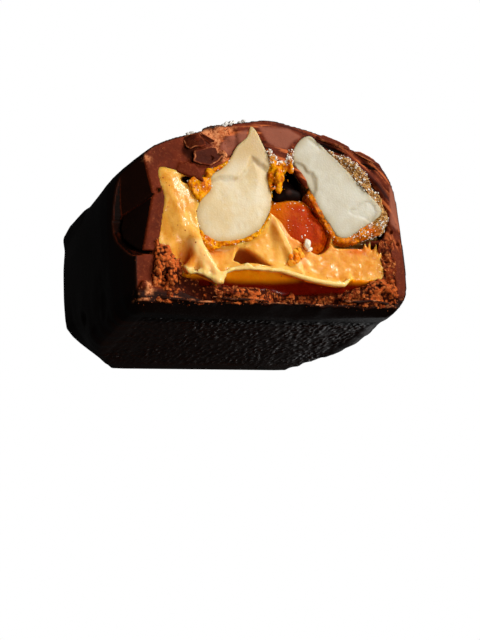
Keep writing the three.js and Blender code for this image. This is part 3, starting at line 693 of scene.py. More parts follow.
def chocolate_shell():
    body = Body(steps(-23, 23, FINE), steps(-2, LENGTH + 0.8, FINE, 8, 0.32),
                steps(-0.6, 30.8, FINE))
    skin = lofted(body, skin_ring, SKIN_STATIONS)
    body.field = rounded_meet(skin, body.y - LENGTH, END_ROUNDING).astype(np.float32)
    sagging(body)
    belt_marks(body)
    skin = body.field.copy()
    hollow = filling_tube(body, hollow_cut, hollow_body)
    hollow = rounded_meet(hollow, body.y - FILLING_END, END_ROUNDING)
    body.field = most(body.field, -hollow, shell_relief(body.x, body.z) - body.y)
    body.cups(NUT_CUPS, -0.08)
    for outline, third in FRAGMENTS:
        body.carve(side_room(outline, third), 0.15)
    body.carve(slit(CREVICE, 0.28, -26, -16.2))
    for path, radii in CRACKS:
        body.carve(string(path, radii))
    base_break(body)
    flakes(body)
    body.swell(porous, 0.8, (15.5, -1, 8.5), (19.8, 2.4, 18.5))
    body.holes(PORES, 0.1)
    piece = body.mesh("chocolate_shell_skin")
    body.field = skin
    mark_shell(piece, -body.at(places_of(piece)))
    return piece


def pushed_in(x, y, z):
    """1 on the outer skin of the two fragments that are pushed in beside the cut."""
    share = 0
    for outline, third in FRAGMENTS:
        plane = plane_through(CREASE_FRONT, CREASE_BACK, third)(x, y, z)
        edge = outline_distance(np.asarray(outline, float), y, z)
        on = band(plane, -0.25, 0.25, 0.1) * smoothstep(-edge, 0, 0.15) * smoothstep(y, 0.25, 0.4)
        share = np.maximum(share, on)
    return share


def sagging(body):
    """Soft folds low on the sides, where the coating ran down, and dimples between them."""
    def folds(points):
        x, y, z = points.T
        side = smoothstep(np.abs(x), 16, 20) * band(z, -2, 6, 5) * smoothstep(y, 0, 6)
        along = np.stack([y, z * 0.35, x * 0.1], 1)
        wave = noise(along, 3.2, 41) + 0.5 * noise(along, 1.6, 42)
        broad = noise(points, 11, 43)
        return 0.28 * side * wave + 0.2 * broad * smoothstep(z, 0.3, 2) * smoothstep(y, 2, 8)
    body.swell(folds, 1.0)
    for y, z, wide, tall in ((2.2, 3.6, 0.9, 1.2), (10.9, 4, 1.7, 2), (-0.6, 2.2, 0.5, 0.8),
                             (11.6, 1.9, 1.2, 0.8), (21.5, 4.6, 1.4, 1.2), (16.5, 1.4, 1.6, 0.7)):
        body.carve(blob((-22.4, y, z), (0.9, wide, tall)), 0.6)
    body.add(string([(-21.2, 24, 3.4), (-20.8, 20, 1.8), (-20.4, 14, 0.8)], [0.2, 0.45, 0.2]), 0.8)
    body.add(string([(-20.6, 14, 5.5), (-20.9, 12.5, 2.5), (-20.7, 10, 0.8)], [0.3, 0.6, 0.3]), 0.9)
    body.add(string([(-20.8, 21, 21.2), (-20.9, 28, 21.5), (-20.6, 32, 21.4)], [0.2, 0.7, 0.8]), 2)


def belt_marks(body):
    """Pebbly marks of the belt that the bar was coated on, under its base."""
    def pebbles(points):
        x, y, z = points.T
        field = band(x, -17.5, 17.5, 1.2) * band(y, 5.4, 29, 0.8) * (1 - smoothstep(z, 0.2, 0.5))
        patch = 0.75 + 0.25 * noise(points, 4, 52)
        pebble = 1 - smoothstep(grains(points * (1, 1, 0), (0.75, 0.55, 1), 51), 0.15, 0.75)
        return field * patch * (0.34 * pebble - 0.3)
    body.swell(pebbles, 0.8, high=(99, 99, 0.9))


def flakes(body):
    """Chips and ridges on the cut face."""
    body.carve(string([(-7.6, -0.2, 24.2), (-6.8, 0, 25), (-6.2, 0, 25.4)], [0.15, 0.3, 0.1]), 0.1)
    body.add(plate(SHELL_TIP, 0.5, lambda x, z: 0.26 - 0.15 * (x + 13)), 0.2)
    body.add(plate(WEDGE, 0.6, lambda x, z: 0.45 + 0 * x), 0.3)
    body.add(plate(LOW_CORNER, 1, lambda x, z: 0.55 - 0.1 * (z - 2)), 0.3)
    body.strings((
            ([(-8.6, 0.3, 27.3), (-7.2, 0.2, 27.9), (-6, 0.3, 28.2), (-4.9, 0.3, 28.4)],
             [0.1, 0.22, 0.25, 0.1]),
            ([(-19.6, 0.1, 2.8), (-19, 0, 3.3), (-18.5, 0, 2.9)], [0.3, 0.6, 0.4]),
            ([(-6.4, -0.3, 23.6), (-5.7, -0.4, 23.9), (-5.4, -0.3, 23.4), (-5.9, -0.2, 22.9)],
             [0.2, 0.3, 0.3, 0.15]),
            ([(20.9, 0.1, 20), (20.5, 0, 17), (20.2, 0.1, 14), (21, 0.1, 13.2), (21.8, 0.2, 13)],
             0.12),
            # porous chocolate between the right crust and the wall
            ([(17, 0.7, 22.7), (19, 0.8, 21), (20.1, 0.8, 18.6), (20.7, 0.8, 16), (20.6, 0.8, 13),
              (19.9, 0.9, 11.4), (18.6, 1, 11.2), (16.6, 1.3, 11.2)],
             [0.4, 0.7, 0.8, 0.9, 0.9, 0.8, 0.6, 0.35]),
            # the sliver beside the right nut, and the lump in the hollow between the nuts, which
            # gets a painted glint
            ([(5.7, 0.5, 22.5), (6.3, 0.4, 21.4), (7, 0.5, 20.3), (7.5, 0.6, 19.4)],
             [0.3, 0.5, 0.5, 0.2]),
            ([(3.4, 2.2, 18.3), (4.6, 1.9, 18.7), (6, 2, 18.6)], [0.8, 1.1, 0.9]),
            ([(4, 4.5, 21.6), (5.6, 4.5, 20)], [1.6, 1.6]),
            ([(-16.6, 0, 1.5), (-14.4, -0.1, 1.3), (-11.8, 0, 1.1)], [0.2, 0.26, 0.15]),
            ([(-9, 0, 1.8), (-6, -0.1, 1.5), (-2.4, 0, 1.6), (-0.5, 0, 1.3)],
             [0.15, 0.24, 0.2, 0.12]),
            ([(11, 0.1, 1.8), (13.6, -0.1, 1.6), (16, 0, 1.9), (18.4, 0, 1.4)],
             [0.15, 0.25, 0.2, 0.25])), 0.12)
    body.carve(string([(10.3, 0.2, 26.5), (12, 0.4, 25.8), (14.4, 0.3, 25)], [0.15, 0.38, 0.12]))
    body.carve(string([(16.6, 0.2, 23.8), (18, 0.3, 23.3), (19.4, 0.2, 22.7)], [0.1, 0.28, 0.1]))
    body.add(blob((-6.6, 1.2, 27.9), (1.6, 1.2, 0.4)), 0.3)


def porous(points):
    return 0.3 * (0.5 - grains(points, 0.8, 65)) + 0.12 * noise(points, 0.5, 66)


def thin_flakes(name, darkness, low, high, plates, curls):
    """Thin curled flakes, on a grid that is fine enough for their edges."""
    body = Body(*(steps(a, b, FLAKE_STEP) for a, b in zip(low, high)))
    body.field = np.full([len(a) for a in body.axes], 9, np.float32)
    for outline, thickness, place in plates:
        body.add(plate(outline, thickness, place))
    body.strings(curls, 0.06)
    body.swell(lambda p: 0.035 * layered(p, 0.9, 3, 171), 0.5)
    piece = body.mesh(name)
    places = places_of(piece)
    x, y, z = places.T
    edge = 9 + 0 * x
    for outline, *_ in plates:
        away = outline_distance(np.asarray(outline, float), x, z)
        edge = np.where(np.abs(away) < np.abs(edge), away, edge)
    patchy = smoothstep(noise(places, 1.2, 173), -0.5, 0.5)
    mark(piece, "tan", 0.8 * (1 - smoothstep(np.abs(edge + 0.03), 0.04, 0.15)) * patchy)
    mark(piece, "depth", 1 + 0 * x)
    mark(piece, "streak", 0.46 + 0.16 * layered(places, (2, 1, 0.5), 2, 175))
    mark(piece, "dark", darkness * smoothstep(-edge, 0.05, 0.3))
    return piece


def left_flakes():
    return thin_flakes(
        "chocolate_flakes_left", 0.55, (-12.6, -2, 20.8), (-4.6, 1, 27.8),
        ((FLAKE_CURL, 0.16, lambda x, z: -0.8 - 0.28 * (x + 9.9) + 0.14 * (x + 9.9) ** 2
          + 0.35 * (z - 25.2)),
         (FLAKE_RIDGE, 0.16, lambda x, z: -0.7 - 0.25 * (x + 8.3) + 0.3 * (z - 25.8)),
         (FLAKE_LOW, 0.2, lambda x, z: -0.3 + 0.14 * (x + 8) - 0.1 * (z - 22.8))),
        (([(-9.4, -0.9, 24.2), (-8.8, -1, 24.5), (-8.7, -0.9, 25)], [0.1, 0.16, 0.1]),
         ([(-9.2, -0.6, 26.7), (-8.4, -0.7, 26.1), (-7.5, -0.9, 25.4), (-7.2, -0.9, 25)],
          [0.08, 0.13, 0.15, 0.08]),
         ([(-10.5, -0.6, 23.5), (-10.3, -0.6, 22.8), (-10.5, -0.6, 22.2)], [0.06, 0.1, 0.08]),
         ([(-7.6, -0.4, 23.2), (-7.2, -0.5, 22.9), (-7.5, -0.4, 22.5)], [0.12, 0.16, 0.06])))


def right_flakes():
    return thin_flakes(
        "chocolate_flakes_right", 0.2, (8.4, -1.4, 21.8), (20.6, 1, 28.6),
        (([(9.4, 27.7), (10.3, 26.9), (11.6, 26.5), (13, 26), (14.6, 25.2), (14.5, 26),
           (12.9, 27), (11.6, 27.5), (10.8, 27.9)], 0.2, lambda x, z: -0.4 + 0.3 * (z - 26.8)),
         ([(15.2, 25.6), (16.8, 24.6), (18.2, 23.8), (19.6, 22.8), (19.3, 23.6), (18, 24.8),
           (16.6, 25.6)], 0.2, lambda x, z: -0.25 + 0.25 * (z - 24.4))),
        (([(9.6, -0.1, 27.2), (11.6, -0.35, 26.5), (13.4, -0.35, 25.8)], [0.08, 0.12, 0.06]),))


def mark_shell(piece, depth):
    """How deep the shell is cut; where it is tan and crumbly, partly with painted highlights; where
    painted shade darkens it; where a painted sheen lies on it; and how it is streaked.
    """
    places = places_of(piece)
    x, y, z = places.T
    fragment = pushed_in(x, y, z)
    front = 1 - smoothstep(y, 0.8, 2.2)
    ridges = layered(places, (2.4, 0.5, 0.4), 3, 61)
    facets = sum(inside(facet, x, z, 0.25) for facet in PAINTED_SHEEN_FACETS)
    mark(piece, "depth", depth / 1.2 * (1 - fragment))
    # Tan: the lighter broken chocolate, and painted highlights on the ridges at the base and on the
    # rim of the left wall.
    mark(piece, "tan", front * most(
        0.9 * inside(TAN_FRACTURE, x, z, 0.3) * smoothstep(layered(places, 0.8, 3, 63), -0.7, 0.3),
        inside(TAN_CORNER, x, z, 0.2), band(x, -5.8, -5.1, 0.3) * band(z, 22.9, 23.8, 0.3),
        (1 - smoothstep(z, 1.7, 2.6)) * smoothstep(ridges, 0.3, 0.8) * smoothstep(z, 0.9, 1.2),
        0.8 * inside(PAINTED_HIGHLIGHT_RIM, x, z, 0.3) * smoothstep(noise(places, 0.7, 67), -0.4, 0.3)))
    # Painted shade, laid into the colour through the dark mask: on the deeper facet at the right,
    # beside the flakes and the shell tip, in the hollow between the nuts, on faces that look down at
    # the base, in the gaps between the ridges at the base, on the walls beside the cut at the left,
    # and in the slots under the right flakes.
    side_walls = smoothstep(y, 0.9, 1.5) * (x < -15.5) * smoothstep(depth, 0.12, 0.35)
    slots = inside(SLOT_UPPER, x, z, 0.15) + inside(SLOT_LOWER, x, z, 0.15)
    mark(piece, "dark", (y < 7) * most(
        0.4 * inside(DARK_FACET, x, z, 0.2), 0.7 * inside(DARK_CORNER, x, z),
        band(x, 2, 8, 0.5) * band(z, 17, 23, 0.5) * smoothstep(y, 0.3, 1),
        smoothstep(-normals_of(piece)[:, 2], 0.5, 0.8) * (z < 1.5),
        0.9 * band(z, -1, 2.2, 0.8) * (1 - smoothstep(ridges, 0.3, 0.8)),
        side_walls * (1 - fragment), slots * smoothstep(y, 0.15, 0.3)))
    # Painted reflections: a glint on the lump in the hollow between the nuts, and a purple-brown
    # sheen on the facets near the cut.
    painted_gloss_spot = band(x, 3, 6, 0.5) * band(z, 18, 20, 0.5) * band(y, 0.5, 3, 0.3)
    mark(piece, "bloom", most(front * facets * smoothstep(depth, 0.05, 0.2), 0.5 * painted_gloss_spot))
    streaks = layered(arc_places(x, z), (4.5, 1, 0.45), 3, 69)
    plain = 0.5 * noise(places, 2.5, 68)
    shaved = shaved_share(x, z) * (1 - 0.6 * np.clip(facets, 0, 1))
    mark(piece, "streak", 0.5 + 0.5 * (shaved * streaks + 0.3 * (1 - shaved) * plain))


# ---- Nuts and their crusts -------------------------------------------------------------------
OVAL_LEFT = [(-12, 9), (-12, 19.6), (-9, 19.8), (-7, 20.3), (-5.8, 20.6), (-4.6, 20.6),
             (-3.6, 20.7), (-2.9, 21.3), (-2.2, 22.2), (-1.6, 23.2), (-1.2, 24), (-0.4, 23.7),
             (0.4, 23), (1.2, 22.4), (2.6, 21.6), (3, 9)]
LEDGE_RIGHT = [(4, 25), (5.6, 23.7), (6.4, 23.3), (7.3, 22.9), (7.8, 22.2), (8.6, 21.9),
               (9.2, 20.9), (9, 19.2), (8, 16), (4, 16)]
CHIP_RIGHT = [(13.2, 15.7), (14, 16.4), (14.8, 16.4), (15.4, 17.2), (16.7, 18), (17.8, 17.6),
              (18.6, 16), (17.4, 14)]
TOP_RIGHT = [(7.6, 27.6), (8.2, 26.6), (9.7, 25.3), (10.8, 25.2), (10, 27)]
# What has broken off each nut's face: outline, depth, slope, fade and seed, as broken_back takes it.
BROKEN_LEFT = ((OVAL_LEFT, 0.65, 0.9, 2.2, 81),)
BROKEN_RIGHT = ((LEDGE_RIGHT, 0.36, 0.6, 4, 91), (CHIP_RIGHT, 0.2, 0.5, 2, 95),
                (TOP_RIGHT, 0.25, 0.6, 3, 97))


def grid_at_cut(outline, margin, front, back, fine_until, coarse):
    """A grid round an outline at the cut, from front to back along y."""
    low, high = box_of(outline, margin)
    return Body(steps(low[0], high[0], NUT_STEP), steps(front, back, NUT_STEP, fine_until, coarse),
                steps(low[1], high[1], NUT_STEP))


def nut(name, outline, depth, broken):
    body = grid_at_cut(outline, 1.2, -1.2, depth + 1, 2, 0.4)
    body.field = cup(outline, depth)[2](body.x, body.y, body.z).astype(np.float32)
    waves = waves_at(body.x, 0, body.z)
    relief = 0.02 + 0.05 * waves(6, 2, 71) + 0.004 * waves(0.5, 2, 73)
    body.field = smooth_max(body.field, relief - body.y, 0.12)
    for settings in broken:
        broken_back(body, *settings)
    piece = body.mesh(name)
    x, y, z = places_of(piece).T
    # Warmer and darker near each nut's outline and towards the left nut's top; on the right nut's
    # recessed ledge the darkening is painted shade.
    mark(piece, "edge", most(1 - smoothstep(-outline_distance(outline, x, z), 0, 1.3),
                             0.9 * smoothstep(z, 20.5, 25) * (x < 3),
                             0.8 * inside(LEDGE_RIGHT, x, z, 0.3)))
    return piece


def broken_back(body, outline, depth, slope, fade, seed):
    """Part of the face inside an outline has broken off, with a ragged edge; it gets deeper over
    the distance slope and then shallower over the distance fade."""
    waves = waves_at(body.x, 0, body.z)
    side = outline_distance(np.asarray(outline, float), body.x, body.z) + 0.2 * waves(1.3, 4, seed)
    floor = depth * smoothstep(-side, 0, slope) * np.exp(np.minimum(side, 0) / fade)
    floor = floor + 0.02 * waves(1.6, 3, seed + 7) * (side < 0)
    body.field = smooth_max(body.field, floor + 0.02 - body.y, 0.06)


CANDY_PATCH = [(-9.7, 20), (-8.6, 19.9), (-7.6, 20.8), (-6.9, 20.4), (-7.1, 19.2), (-7.6, 18.4),
               (-8.4, 17.8), (-9.1, 16.8), (-9.9, 15.9), (-10.6, 16.8), (-11.2, 18.2),
               (-11.2, 19.4)]


def crust(name, outline, nut_outline, depth, extra, seed):
    """The granular sugar crust round a nut: a cup that is open at the cut."""
    body = grid_at_cut(outline, 1.6, -1.6, depth + 2, 2.5, 0.5)
    body.field = cup(outline, depth + GLAZE_THICKNESS)[2](body.x, body.y, body.z).astype(np.float32)
    relief = 0.1 + 0.25 * waves_at(body.x, 0, body.z)(1.1, 2, seed)
    body.field = np.maximum(body.field, relief - body.y)
    extra(body)
    body.swell(lambda p: 0.22 * layered(p, 1.3, 3, seed) + 0.24 * (0.5 - grains(p, 0.5, seed + 3)),
               0.8, high=(99, 4, 99))
    body.carve(cup(nut_outline, depth, -0.12))
    piece = body.mesh(name)
    # Painted shade in the pits between the sugar grains.
    mark(piece, "pit", grains(places_of(piece), 0.5, seed + 3))
    return piece


def left_extras(body):
    """The thick golden patch left of the nut, and the ragged crust hanging between the nuts."""
    body.add(plate(CANDY_PATCH, 0.9, lambda x, z: 0.4 + 0.1 * (x + 9) + 0.05 * (z - 19)), 0.3)
    body.strings((
            ([(-8.2, 0.1, 20.9), (-6.2, 0.1, 21.6), (-4.9, 0.1, 22.7)], [0.35, 0.25, 0.15]),
            ([(-10.3, 0.1, 10.9), (-9.6, 0, 9.8), (-8.4, 0, 9.2), (-7.3, 0.1, 9.3)],
             [0.3, 0.55, 0.5, 0.2]),
            # the grainy bands on both sides of the chocolate wedge
            ([(0.5, 0.4, 26.8), (1.1, 0.3, 25.4), (1.7, 0.2, 24.2), (2.3, 0.2, 23.2)],
             [0.15, 0.35, 0.5, 0.6]),
            ([(7.8, 0.3, 27.8), (6.5, 0.3, 26.8), (5.6, 0.3, 25.6), (5, 0.3, 24.2),
              (4.8, 0.2, 23.2)],
             [0.12, 0.32, 0.38, 0.42, 0.45]),
            # the candy that hangs from them, with its ragged points
            ([(2.2, 0.4, 23), (2.4, 0.3, 21.4), (2.6, 0.1, 19.8), (2.7, 0, 18)],
             [0.75, 0.85, 0.7, 0.05]),
            ([(1.8, 0.5, 21.4), (1.8, 0.3, 20.2), (2.1, 0.1, 18.9)], [0.5, 0.5, 0.06]),
            ([(3.3, 0.4, 22.6), (3.2, 0.3, 21.2), (3.3, 0.1, 20), (3.7, 0, 18.9)],
             [0.7, 0.7, 0.4, 0.05]),
            ([(4.1, 0.5, 22.8), (4.1, 0.4, 21.6), (4.4, 0.2, 20.2)], [0.55, 0.35, 0.05]),
            ([(4.9, 0.4, 23.2), (4.8, 0.3, 22.2), (5, 0.1, 21.2)], [0.5, 0.35, 0.05])), 0.3)
    body.swell(lambda p: 0.34 * layered(p, (0.7, 0.8, 1.1), 3, 135), 0.9,
               (1, -1, 17.6), (6.6, 3, 23.4))


def right_extras(body):
    """The band is thickest above the nut's right end, and at its lower right corner."""
    body.strings((
            ([(12.2, 0.5, 25), (14, 0.3, 24), (15.4, 0.2, 23.1), (16.6, 0.3, 21.8),
              (17.8, 0.4, 20.2)], [0.15, 0.5, 0.65, 0.5, 0.35]),
            ([(14.6, 0.3, 12), (16.6, 0.2, 12.8), (18.4, 0.3, 13.6), (19.4, 0.4, 15.4)],
             [0.5, 0.7, 0.7, 0.5])), 0.3)


def candied_nut():
    whole, *swellings = CANDIED_LOBES
    centre, radii = np.array(whole)
    low, high = centre - radii - 1, centre + radii + 1
    body = Body(steps(low[0], high[0], 0.18), steps(low[1], high[1], 0.18, 4, 0.6),
                steps(low[2], high[2], 0.18))
    body.field = blob(*whole)[2](body.x, body.y, body.z).astype(np.float32)
    for centre, radii in swellings:
        body.add(blob(centre, radii), 0.8)
    body.swell(lambda p: 0.16 * layered(p, 2.2, 2, 101) - 0.12 * grains(p, 0.5, 103), 1)
    body.cups(CRUST_CUPS, 0.02)
    piece = body.mesh("candied_nut_glossy")
    places = places_of(piece)
    x, y, z = places.T
    # Painted shade in the pits, stronger towards the right.
    mark(piece, "pit", grains(places, 0.5, 103) * (0.7 + 0.4 * smoothstep(x, 7, 9.5)))
    # Painted glow, as if light shone through the amber: lighter at the left, the top and the lower
    # right; elsewhere it is left darker.
    glow = (1 - smoothstep(x + 0.3 * layered(places, 2, 2, 107), 2.2, 5)) + smoothstep(z, 16, 18)
    mark(piece, "glow", np.maximum(glow, 0.8 * (1 - smoothstep(z, 10, 11.4)) * smoothstep(x, 6, 8)))
    return piece


# ---- Caramel and crumb -----------------------------------------------------------------------
LIP_EDGE = [(-13.6, -0.2, 5.6), (-12.5, -0.8, 5), (-11.4, -1, 5.1), (-10.5, -1.1, 4.8),
            (-9.8, -1.2, 4.3), (-9.1, -1.2, 4), (-8.4, -1.2, 3.5), (-7.8, -1.1, 4.2),
            (-7, -1, 5.3), (-5.9, -0.9, 5.8), (-4.4, -0.8, 6), (-2.6, -0.8, 6), (-0.6, -0.8, 5.9),
            (1.3, -0.9, 5.8), (2.8, -0.9, 5.4), (4.4, -1, 4.9), (6.2, -1.1, 4.4),
            (8, -1.1, 4.1), (9.6, -1.1, 3.9), (11, -1, 3.9), (12, -0.6, 4.6), (13, 0.2, 5.2)]
CAVE = [(-5.2, 7.6), (-4.7, 8.8), (-4, 9.6), (-2.9, 9.5), (-1.6, 8.6), (-0.4, 7.5), (0.5, 6.7),
        (-1.4, 7), (-3, 7.1), (-4.4, 6.9)]
RIDGE_LINE = [(1.3, 15.2), (1.7, 14.4), (2.4, 12.7), (3.2, 10.8), (4, 9), (4.9, 7.5), (5.6, 6.4)]


def lip_height(x):
    return along([(x, z) for x, _, z in LIP_EDGE], x)


def caramel_relief(x, z):
    """How far the caramel's face lies behind the cut plane, at (nx, 1, nz) coordinates."""
    waves = waves_at(x, 0, z)
    height = lip_height(x)
    under = 1.9 * (1 - smoothstep(z, height - 2.2, height + 0.1))
    lip = -0.6 * bump((z - height - 0.6) / 0.9) * band(x, -13, 12.5, 1)
    column = band(x, -15.2, -10.2, 1) * band(z, 10, 20, 2)
    ripples = waves_at(x + 0.22 * (z - 14), 0, z * 0.2)(1.1, 3, 111)
    bulge = -0.5 * bump((x + 12.9 + 0.2 * (z - 14)) / 1.9)
    hollow = 0.8 * bump((x + 13) / 1.3, (z - 8.2) / 1.8)
    tucked = 0.45 * band(x, -9.3, -5.8, 1.2) * band(z, 7.2, 9.6, 1)
    under_nut = 0.4 * band(x, -9, 1, 1) * smoothstep(z, 8.2, 10.4)
    below_ridge = along(RIDGE_LINE, x) - z
    ridge = -0.5 * smoothstep(below_ridge, -0.5, 0.1) * band(x, 1.4, 5, 0.6) * band(
        below_ridge, 0, 1.6, 2.4)
    soft = 0.14 * waves(3.2, 2, 113)
    crisp = 0.05 * (np.abs(waves((1.8, 1, 1.2), 1, 115)) - 0.3)
    pebbly = 0.08 * band(x, 5, 19, 2) * band(z, 6, 12, 2) * waves(1, 3, 119)
    tucked_right = 1.2 * smoothstep(x, 18.6, 19.6) * smoothstep(z, 8, 10)
    under_left = 2 * band(x, -13.6, -9, 0.8) * (1 - smoothstep(z, height - 1.5, height - 0.3))
    under_right = 1.5 * smoothstep(z, 9.9, 10.6) * smoothstep(x, 10.4, 11.4)
    relief = (0.35 + under + lip + column * (bulge + 0.09 * ripples) + hollow + tucked + under_nut
              + ridge + soft - crisp * (1 - column) + pebbly + tucked_right + under_left
              + 0.05 * waves(0.9, 3, 117) + under_right)
    away = outline_distance(nut_left_outline, x, z)
    return relief + (0.1 - relief) * (1 - smoothstep(away, 0.1, 1.2))


def caramel_filling():
    body = Body(steps(-20.6, 21.2, FINE), steps(-2.2, FILLING_END + 0.6, FINE, 6, 1.2),
                steps(0.6, 24.8, FINE))
    body.field = filling_tube(body, hollow_cut, hollow_body) - 0.1
    body.field = rounded_meet(body.field, body.y - FILLING_END, END_ROUNDING).astype(np.float32)
    body.field = np.maximum(body.field, caramel_relief(body.x, body.z) - body.y)
    body.carve(blob((-11.3, 0.4, 19.6), (1.1, 1.8, 0.6)), 0.15)
    body.carve(blob((4.4, 2, 20.6), (3.6, 6, 3.9)), 0.2)
    body.carve(cup(smooth_outline(CANDIED_WINDOW, 40), 6, 0), 0.3)
    body.carve(blob((14.4, 0, 10.8), (4.2, 2.6, 0.6)), 0.2)
    body.carve(cup(CAVE, 5), 0.35)
    body.add(string(LIP_EDGE, [0.2] * 3 + [0.26] * 5 + [0.3] * 6 + [0.38] * 6 + [0.3, 0.2]), 0.5)
    body.strings(CARAMEL_STRINGS)
    body.swell(lambda p: 0.14 * layered(p, (0.7, 0.6, 0.7), 2, 127) * band(
        p[:, 2] - lip_height(p[:, 0]), -1.2, 0.4, 0.6), 0.6, (-14, -2, 2.5), (0, 0.4, 8))
    body.swell(lambda p: 0.05 * layered(p, (0.5, 0.8, 1.4), 2, 128), 0.6,
               (-12.6, -2, 3), (-7, 1, 12))
    crumb_room = filling_tube(body, crumb_cut, crumb_body)
    body.field = np.maximum(body.field, -(crumb_room + 0.1)).astype(np.float32)
    body.cups(NUT_CUPS + CRUST_CUPS, -0.1)
    body.holes((centre, [radius - 0.1 for radius in radii]) for centre, radii in CANDIED_LOBES)
    piece = body.mesh("caramel_soft")
    mark_caramel(piece)
    return piece


def mark_caramel(piece):
    """Painted shade where the caramel lies deep and in the cave, painted glow and shade under its
    lip, where it is pale, painted shade where it is dark, and where it is orange, partly its own
    tone and partly painted shade.
    """
    x, y, z = places_of(piece).T
    below = lip_height(x) - z
    ridge = along(RIDGE_LINE, x)
    # Painted shade: the caramel is darkened where it lies deep behind the cut and inside the cave.
    cave = inside(CAVE, x - SLANT_X * y, z - SLANT_Z * y, 0.2) * smoothstep(y, 0.6, 2.2)
    mark(piece, "deep", most(smoothstep(y, 1.6, 4.5) * (z > 7), cave))
    # Under the lip: a painted glow, bright orange as if light shone through the caramel, just under
    # the lip, turning to painted shade lower down.
    under = smoothstep(below, -0.1, 0.2) * (0.18 + 0.82 * smoothstep(5.6 - z, 0, 1.7))
    mark(piece, "under", under * smoothstep(y, -1.1, -0.4))
    strand = np.interp(z, *STRAND)
    mark(piece, "pale", most(
        band(below, -0.5, 0.1, 0.5) * (1 - smoothstep(y, -0.9, -0.2)),
        band(x - strand, -0.9, 0.5, 0.8) * band(z, 4, 9.5, 1) * (y < 0.6),
        0.7 * band(ridge - z, 0, 1.4, 0.6) * band(x, 1.4, 5, 0.5) * (y < 1)))
    # Painted shade: in the hollow between the nuts, along the shell's edge, at the tucked-in right
    # end, in the notch, and in the gap under the right crust.
    mark(piece, "dark", most(
        band(x, 1.5, 7.6, 0.5) * band(z, 17.6, 24, 0.6) * smoothstep(y, 0.4, 1),
        smoothstep(outline_distance(hollow_cut, x, z), -0.4, -0.15) * smoothstep(y, 0.5, 0.9),
        smoothstep(x, 18.9, 19.6) * smoothstep(z, 8, 10), inside(DARK_NOTCH, x, z, 0.15),
        0.8 * smoothstep(x, 11, 12) * smoothstep(z, 10, 10.6) * smoothstep(y, 0.8, 1.5)))
    # Orange: partly painted shade, deeper orange in hollows, in the cave and where the caramel lies
    # deeper, and partly the caramel's own orange bits on its right part.
    mark(piece, "orange", (
        bump((x - 14.5) / 1.6, (z - 9.8) / 0.8) + bump((x + 12.3) / 1.1, (z - 7.6) / 1.5)
        + bump((x + 2.6) / 2.2, (z - 7.9) / 1.2) * smoothstep(y, 0.4, 1.4)
        + 0.7 * bump((x + 8) / 1.6, (z - 9) / 0.8) + 0.12 * smoothstep(y, 0.6, 1.4) * (below < -0.5)
        + 0.3 * band(x, 8, 20, 2) * band(z, 5.5, 12, 1) * (below < -0.5)
        + 0.5 * smoothstep(z - ridge, 0, 0.6) * band(x, 1.6, 6, 0.6) * band(z, 7, 13, 1)))


STRAND = ([3.6, 5, 6.8, 8, 9, 11.3], [-8.2, -8.8, -9.6, -10.1, -10.6, -11.4])  # z, and x there
# A notch in which painted shade lies.
DARK_NOTCH = [(-17, 16.6), (-15.8, 16.8), (-15.3, 18.2), (-16.4, 18)]
CANDIED_WINDOW = [
    (1.2, 15), (2.2, 14.4), (3.2, 13), (4, 11.6), (5.4, 10.8), (6.8, 9.6), (7.8, 9), (9, 9.2),
    (10.2, 10.4), (10.6, 12), (10.4, 14), (8.4, 17.6), (7.6, 19.2), (3.4, 18.8), (1, 17.4),
]
CARAMEL_STRINGS = (
    # the strand that runs down into the drip on the lip, and the thin film beside it
    ([(-11.4, 0, 11.4), (-11, -0.1, 10.1), (-10.6, -0.4, 9), (-10, -0.6, 8), (-9.5, -0.8, 6.8),
      (-9, -1, 5.8), (-8.5, -1.2, 4.6), (-8.2, -1.3, 3.5)],
     [0.4, 0.6, 0.7, 0.7, 0.7, 0.6, 0.4, 0.1], 1.2),
    ([(-10.8, -0.2, 10), (-11.2, -0.3, 8.6), (-11.4, -0.4, 7.4), (-12.2, -0.4, 6.3),
      (-13, -0.4, 5.6)], [0.3, 0.5, 0.6, 0.6, 0.3], 1.2),
    ([(-10.4, -0.4, 8), (-10.4, -0.6, 6.6), (-10.3, -0.8, 5.6)], [0.4, 0.5, 0.5], 1),
    # curled threads at the drip
    ([(-8.8, -1.2, 5.4), (-8, -1.4, 4.9), (-7.4, -1.3, 5.1), (-7, -1.1, 5.7)],
     [0.22, 0.22, 0.18, 0.1], 0.15),
    ([(-9.6, -1.2, 4.8), (-9.2, -1.4, 4.1), (-8.9, -1.4, 3.8)], [0.2, 0.18, 0.06], 0.15),
    ([(-4.6, -0.9, 6), (-3.8, -1.1, 6.5), (-3.1, -1, 6.2), (-3.7, -0.9, 5.7)],
     [0.2, 0.25, 0.22, 0.15], 0.15),
    # torn points at the right end
    ([(15.9, 0.6, 9.6), (15.8, 0.3, 10.4), (15.7, 0.1, 11)], [0.45, 0.25, 0.05], 0.2),
    ([(16.4, 0.6, 9.6), (16.5, 0.3, 10.6), (16.6, 0.1, 11.4)], [0.4, 0.2, 0.04], 0.2),
    ([(17.2, 0.6, 9), (17.5, 0.3, 10.2), (17.7, 0.1, 11)], [0.5, 0.25, 0.05], 0.2),
    ([(17.8, 0.6, 8.6), (18.3, 0.3, 9.6), (18.8, 0.2, 10.4)], [0.5, 0.25, 0.06], 0.2),
    ([(18, 0.6, 7.8), (18.7, 0.4, 8.4), (19.3, 0.2, 9)], [0.5, 0.25, 0.06], 0.2),
    ([(18, 0.6, 7), (18.8, 0.4, 7.2), (19.5, 0.2, 7.2)], [0.5, 0.25, 0.06], 0.2),
)


